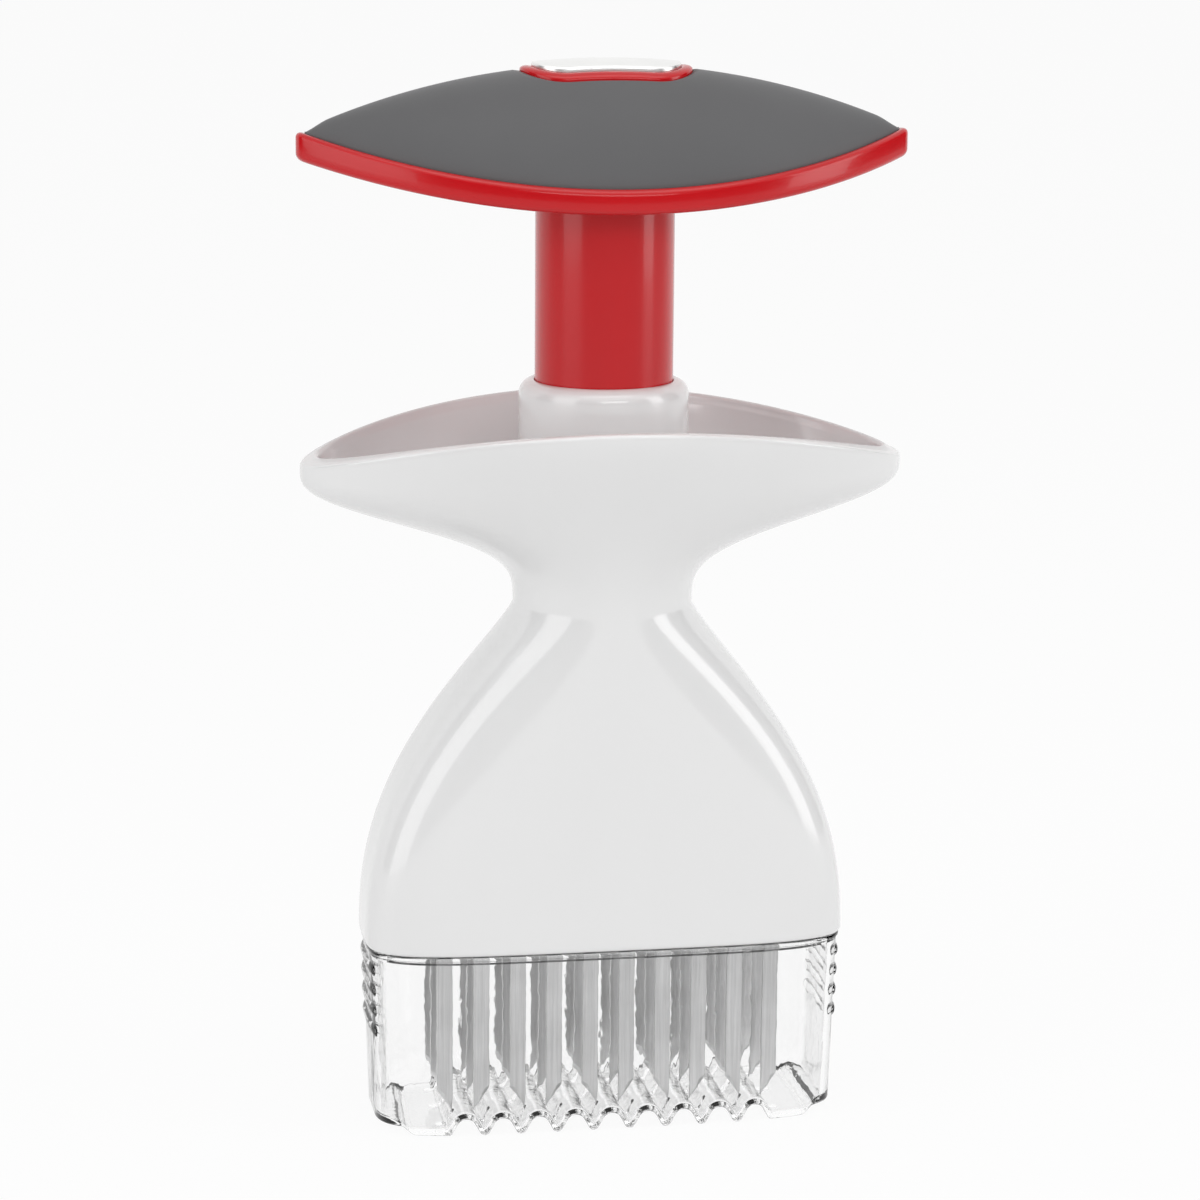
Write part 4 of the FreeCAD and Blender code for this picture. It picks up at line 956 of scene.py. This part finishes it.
class OBJECT_OT_tenderizer_guard(bpy.types.Operator):
    """Build the clear guard: walls, corrugated slotted floor, rim, flange and ribbed ends"""
    bl_idname = "object.tenderizer_guard"
    bl_label = "Clear Guard"

    def execute(self, context):
        guard = surface(context, "clear_guard", guard_tray(), "clear_plastic", "guard", ["guard"], loop=False)
        self.combine(context, guard, guard_ring(), True, "UNION")
        for bar in grip_ribs():
            self.combine(context, guard, bar, False, "UNION")
        room = BLADE["room"]
        slot = oval(BLADE["width"] / 2 + room, BLADE["thickness"] / 2 + room, 5, 3)[::COARSE]
        for _, x, y, _ in blade_places():
            rows = np.array([level(slot + [x, y], z) for z in (-2.0, 5.5)])
            self.combine(context, guard, rows, False, "DIFFERENCE")
        guard.data.shade_smooth()
        guard.data.set_sharp_from_angle(angle=radians(38))
        return {"FINISHED"}

    def combine(self, context, guard, rows, loop, operation):
        """Joins or cuts the guard with another closed surface, and drops that surface."""
        tool = bpy.data.objects.new("tool", grid_mesh("tool", rows, loop))
        context.scene.collection.objects.link(tool)
        join = guard.modifiers.new("join", "BOOLEAN")
        join.object = tool
        join.operation = operation
        join.solver = "EXACT"
        done = bpy.data.meshes.new_from_object(guard.evaluated_get(context.evaluated_depsgraph_get()))
        guard.modifiers.clear()
        guard.data = done
        bpy.data.objects.remove(tool)


class OBJECT_OT_tenderizer_blades(bpy.types.Operator):
    """Build the thirty flat blades with their ground points"""
    bl_idname = "object.tenderizer_blades"
    bl_label = "Blades"

    def execute(self, context):
        for name, x, y, side in blade_places():
            blade = surface(context, name.replace("blade", "steel_blade"), blade_rows(x, y, side),
                            "blade_steel", "plunger", [name], loop=False)
            blade.data.set_sharp_from_angle(angle=radians(12))
        return {"FINISHED"}


class OBJECT_OT_tenderizer_finishes(bpy.types.Operator):
    """Give every solid that stays in sight its finish"""
    bl_idname = "object.tenderizer_finishes"
    bl_label = "Finishes"

    def execute(self, context):
        for name, slot in KEPT_SOLIDS.items():
            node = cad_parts[name]
            if not node.material_slots:
                raise RuntimeError(name + " has no material slot")
            for place in node.material_slots:
                place.material = finishes(context)[slot]
        return {"FINISHED"}


class OBJECT_OT_tenderizer_stage(bpy.types.Operator):
    """Set the pale floor, the soft studio light and the camera"""
    bl_idname = "object.tenderizer_stage"
    bl_label = "Stage"

    def execute(self, context):
        scene = context.scene
        scene.view_settings.view_transform = "Standard"
        self.floor(context)
        self.card(context)
        self.world(scene)
        self.lamps(context)
        self.camera(context)
        return {"FINISHED"}

    def seen(self, shader):
        """1 for rays from the camera, from gloss and through glass, else 0."""
        rays = shader.tree.nodes.new("ShaderNodeLightPath")
        total = Value(shader, rays.outputs["Is Camera Ray"])
        for name in ("Is Glossy Ray", "Is Transmission Ray"):
            total = total + Value(shader, rays.outputs[name])
        return shader.node("ShaderNodeMath", {"operation": "MINIMUM"}, [total, 1.0])

    def floor(self, context):
        mesh = bpy.data.meshes.new("floor")
        far = FLOOR_REACH
        mesh.from_pydata([(-far, -far, 0), (far, -far, 0), (far, far, 0), (-far, far, 0)], [], [(0, 1, 2, 3)])
        floor = bpy.data.objects.new("floor", mesh)
        context.scene.collection.objects.link(floor)
        s = material("pale_floor")
        matte = s.node("ShaderNodeBsdfDiffuse", None, {"Color": (0.9, 0.9, 0.9, 1)})
        white = s.node("ShaderNodeEmission", None, {"Color": (1, 1, 1, 1), "Strength": 1.0})
        both = s.node("ShaderNodeMixShader", None, [self.seen(s) * 0.94, matte, white])
        mesh.materials.append(s.close(both))

    def card(self, context):
        """A dark card curved round the front and sides, behind camera and lamps: gloss and glass show it."""
        steps, radius = CARD["steps"], CARD["radius"]
        t = np.radians(np.linspace(-CARD["half_angle"], CARD["half_angle"], steps + 1))
        low = np.stack([radius * np.sin(t), -radius * np.cos(t), 0 * t], axis=-1)
        vertices = np.vstack([low, low + [0, 0, CARD["height"]]])
        faces = [(i, i + 1, i + steps + 2, i + steps + 1) for i in range(steps)]
        mesh = bpy.data.meshes.new("front_card")
        mesh.from_pydata(vertices.tolist(), [], faces)
        card = bpy.data.objects.new("front_card", mesh)
        context.scene.collection.objects.link(card)
        s = material("dark_card")
        matte = s.node("ShaderNodeBsdfDiffuse", None, {"Color": (0.03, 0.03, 0.03, 1)})
        mesh.materials.append(s.close(matte))
        card.visible_camera = False
        card.visible_diffuse = False

    def world(self, scene):
        """A white room that lights the object dimly but looks fully white to camera, gloss and glass."""
        s = Shader(bpy.data.worlds.new("studio"), "ShaderNodeOutputWorld")
        dim = s.node("ShaderNodeBackground", None, {"Color": (1, 1, 1, 1), "Strength": 0.33})
        white = s.node("ShaderNodeBackground", None, {"Color": (1, 1, 1, 1), "Strength": 1.0})
        scene.world = s.close(s.node("ShaderNodeMixShader", None, [self.seen(s), dim, white]))

    def lamps(self, context):
        """Soft boxes at both sides, in front and overhead, all aimed at the object's middle."""
        aim = Vector(LAMP_AIM)
        for name, (place, size, power) in LAMPS.items():
            lamp = bpy.data.lights.new(name, "AREA")
            lamp.shape = "RECTANGLE"
            lamp.size, lamp.size_y = size
            lamp.energy = power
            item = bpy.data.objects.new(name, lamp)
            item.location = place
            item.rotation_euler = (aim - item.location).to_track_quat("-Z", "Y").to_euler()
            context.scene.collection.objects.link(item)

    def camera(self, context):
        view = context.scene.tenderizer_view
        data = bpy.data.cameras.new("camera")
        data.sensor_width = 36
        data.lens = view.lens
        data.shift_x = CAMERA_SHIFT
        camera = bpy.data.objects.new("camera", data)
        aim = Vector(CAMERA_AIM)
        out = Vector((sin(view.azimuth) * cos(view.elevation), -cos(view.azimuth) * cos(view.elevation),
                      sin(view.elevation)))
        camera.location = aim + out * view.distance
        turn = (-out).to_track_quat("-Z", "Y") @ Quaternion((0, 0, 1), view.roll)
        camera.rotation_euler = turn.to_euler()
        context.scene.collection.objects.link(camera)
        context.scene.camera = camera


STEPS = (OBJECT_OT_tenderizer_body, OBJECT_OT_tenderizer_head, OBJECT_OT_tenderizer_tube,
         OBJECT_OT_tenderizer_guard, OBJECT_OT_tenderizer_blades, OBJECT_OT_tenderizer_finishes,
         OBJECT_OT_tenderizer_stage)


class VIEW3D_PT_tenderizer(bpy.types.Panel):
    """The sizes, the colours and the building steps in the sidebar"""
    bl_idname = "VIEW3D_PT_tenderizer"
    bl_label = "Meat Tenderizer"
    bl_space_type = "VIEW_3D"
    bl_region_type = "UI"
    bl_category = "Tenderizer"

    def draw(self, context):
        for group_name in GROUPS:
            group = getattr(context.scene, group_name)
            box = self.layout.box()
            for name in group.bl_rna.properties.keys():
                if name not in {"rna_type", "name"}:
                    box.prop(group, name)
        for step in STEPS:
            self.layout.operator(step.bl_idname)


GROUPS = {"tenderizer_sizes": TenderizerSizes, "tenderizer_colours": TenderizerColours,
          "tenderizer_view": TenderizerView}


def register():
    for item in (*GROUPS.values(), *STEPS, VIEW3D_PT_tenderizer):
        bpy.utils.register_class(item)
    for name, group in GROUPS.items():
        setattr(bpy.types.Scene, name, bpy.props.PointerProperty(type=group))


def unregister():
    for name in GROUPS:
        delattr(bpy.types.Scene, name)
    for item in reversed((*GROUPS.values(), *STEPS, VIEW3D_PT_tenderizer)):
        bpy.utils.unregister_class(item)


def main():
    """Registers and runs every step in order."""
    register()
    for step in STEPS:
        group, name = step.bl_idname.split(".")
        getattr(getattr(bpy.ops, group), name)()


if __name__ == "__main__":
    main()
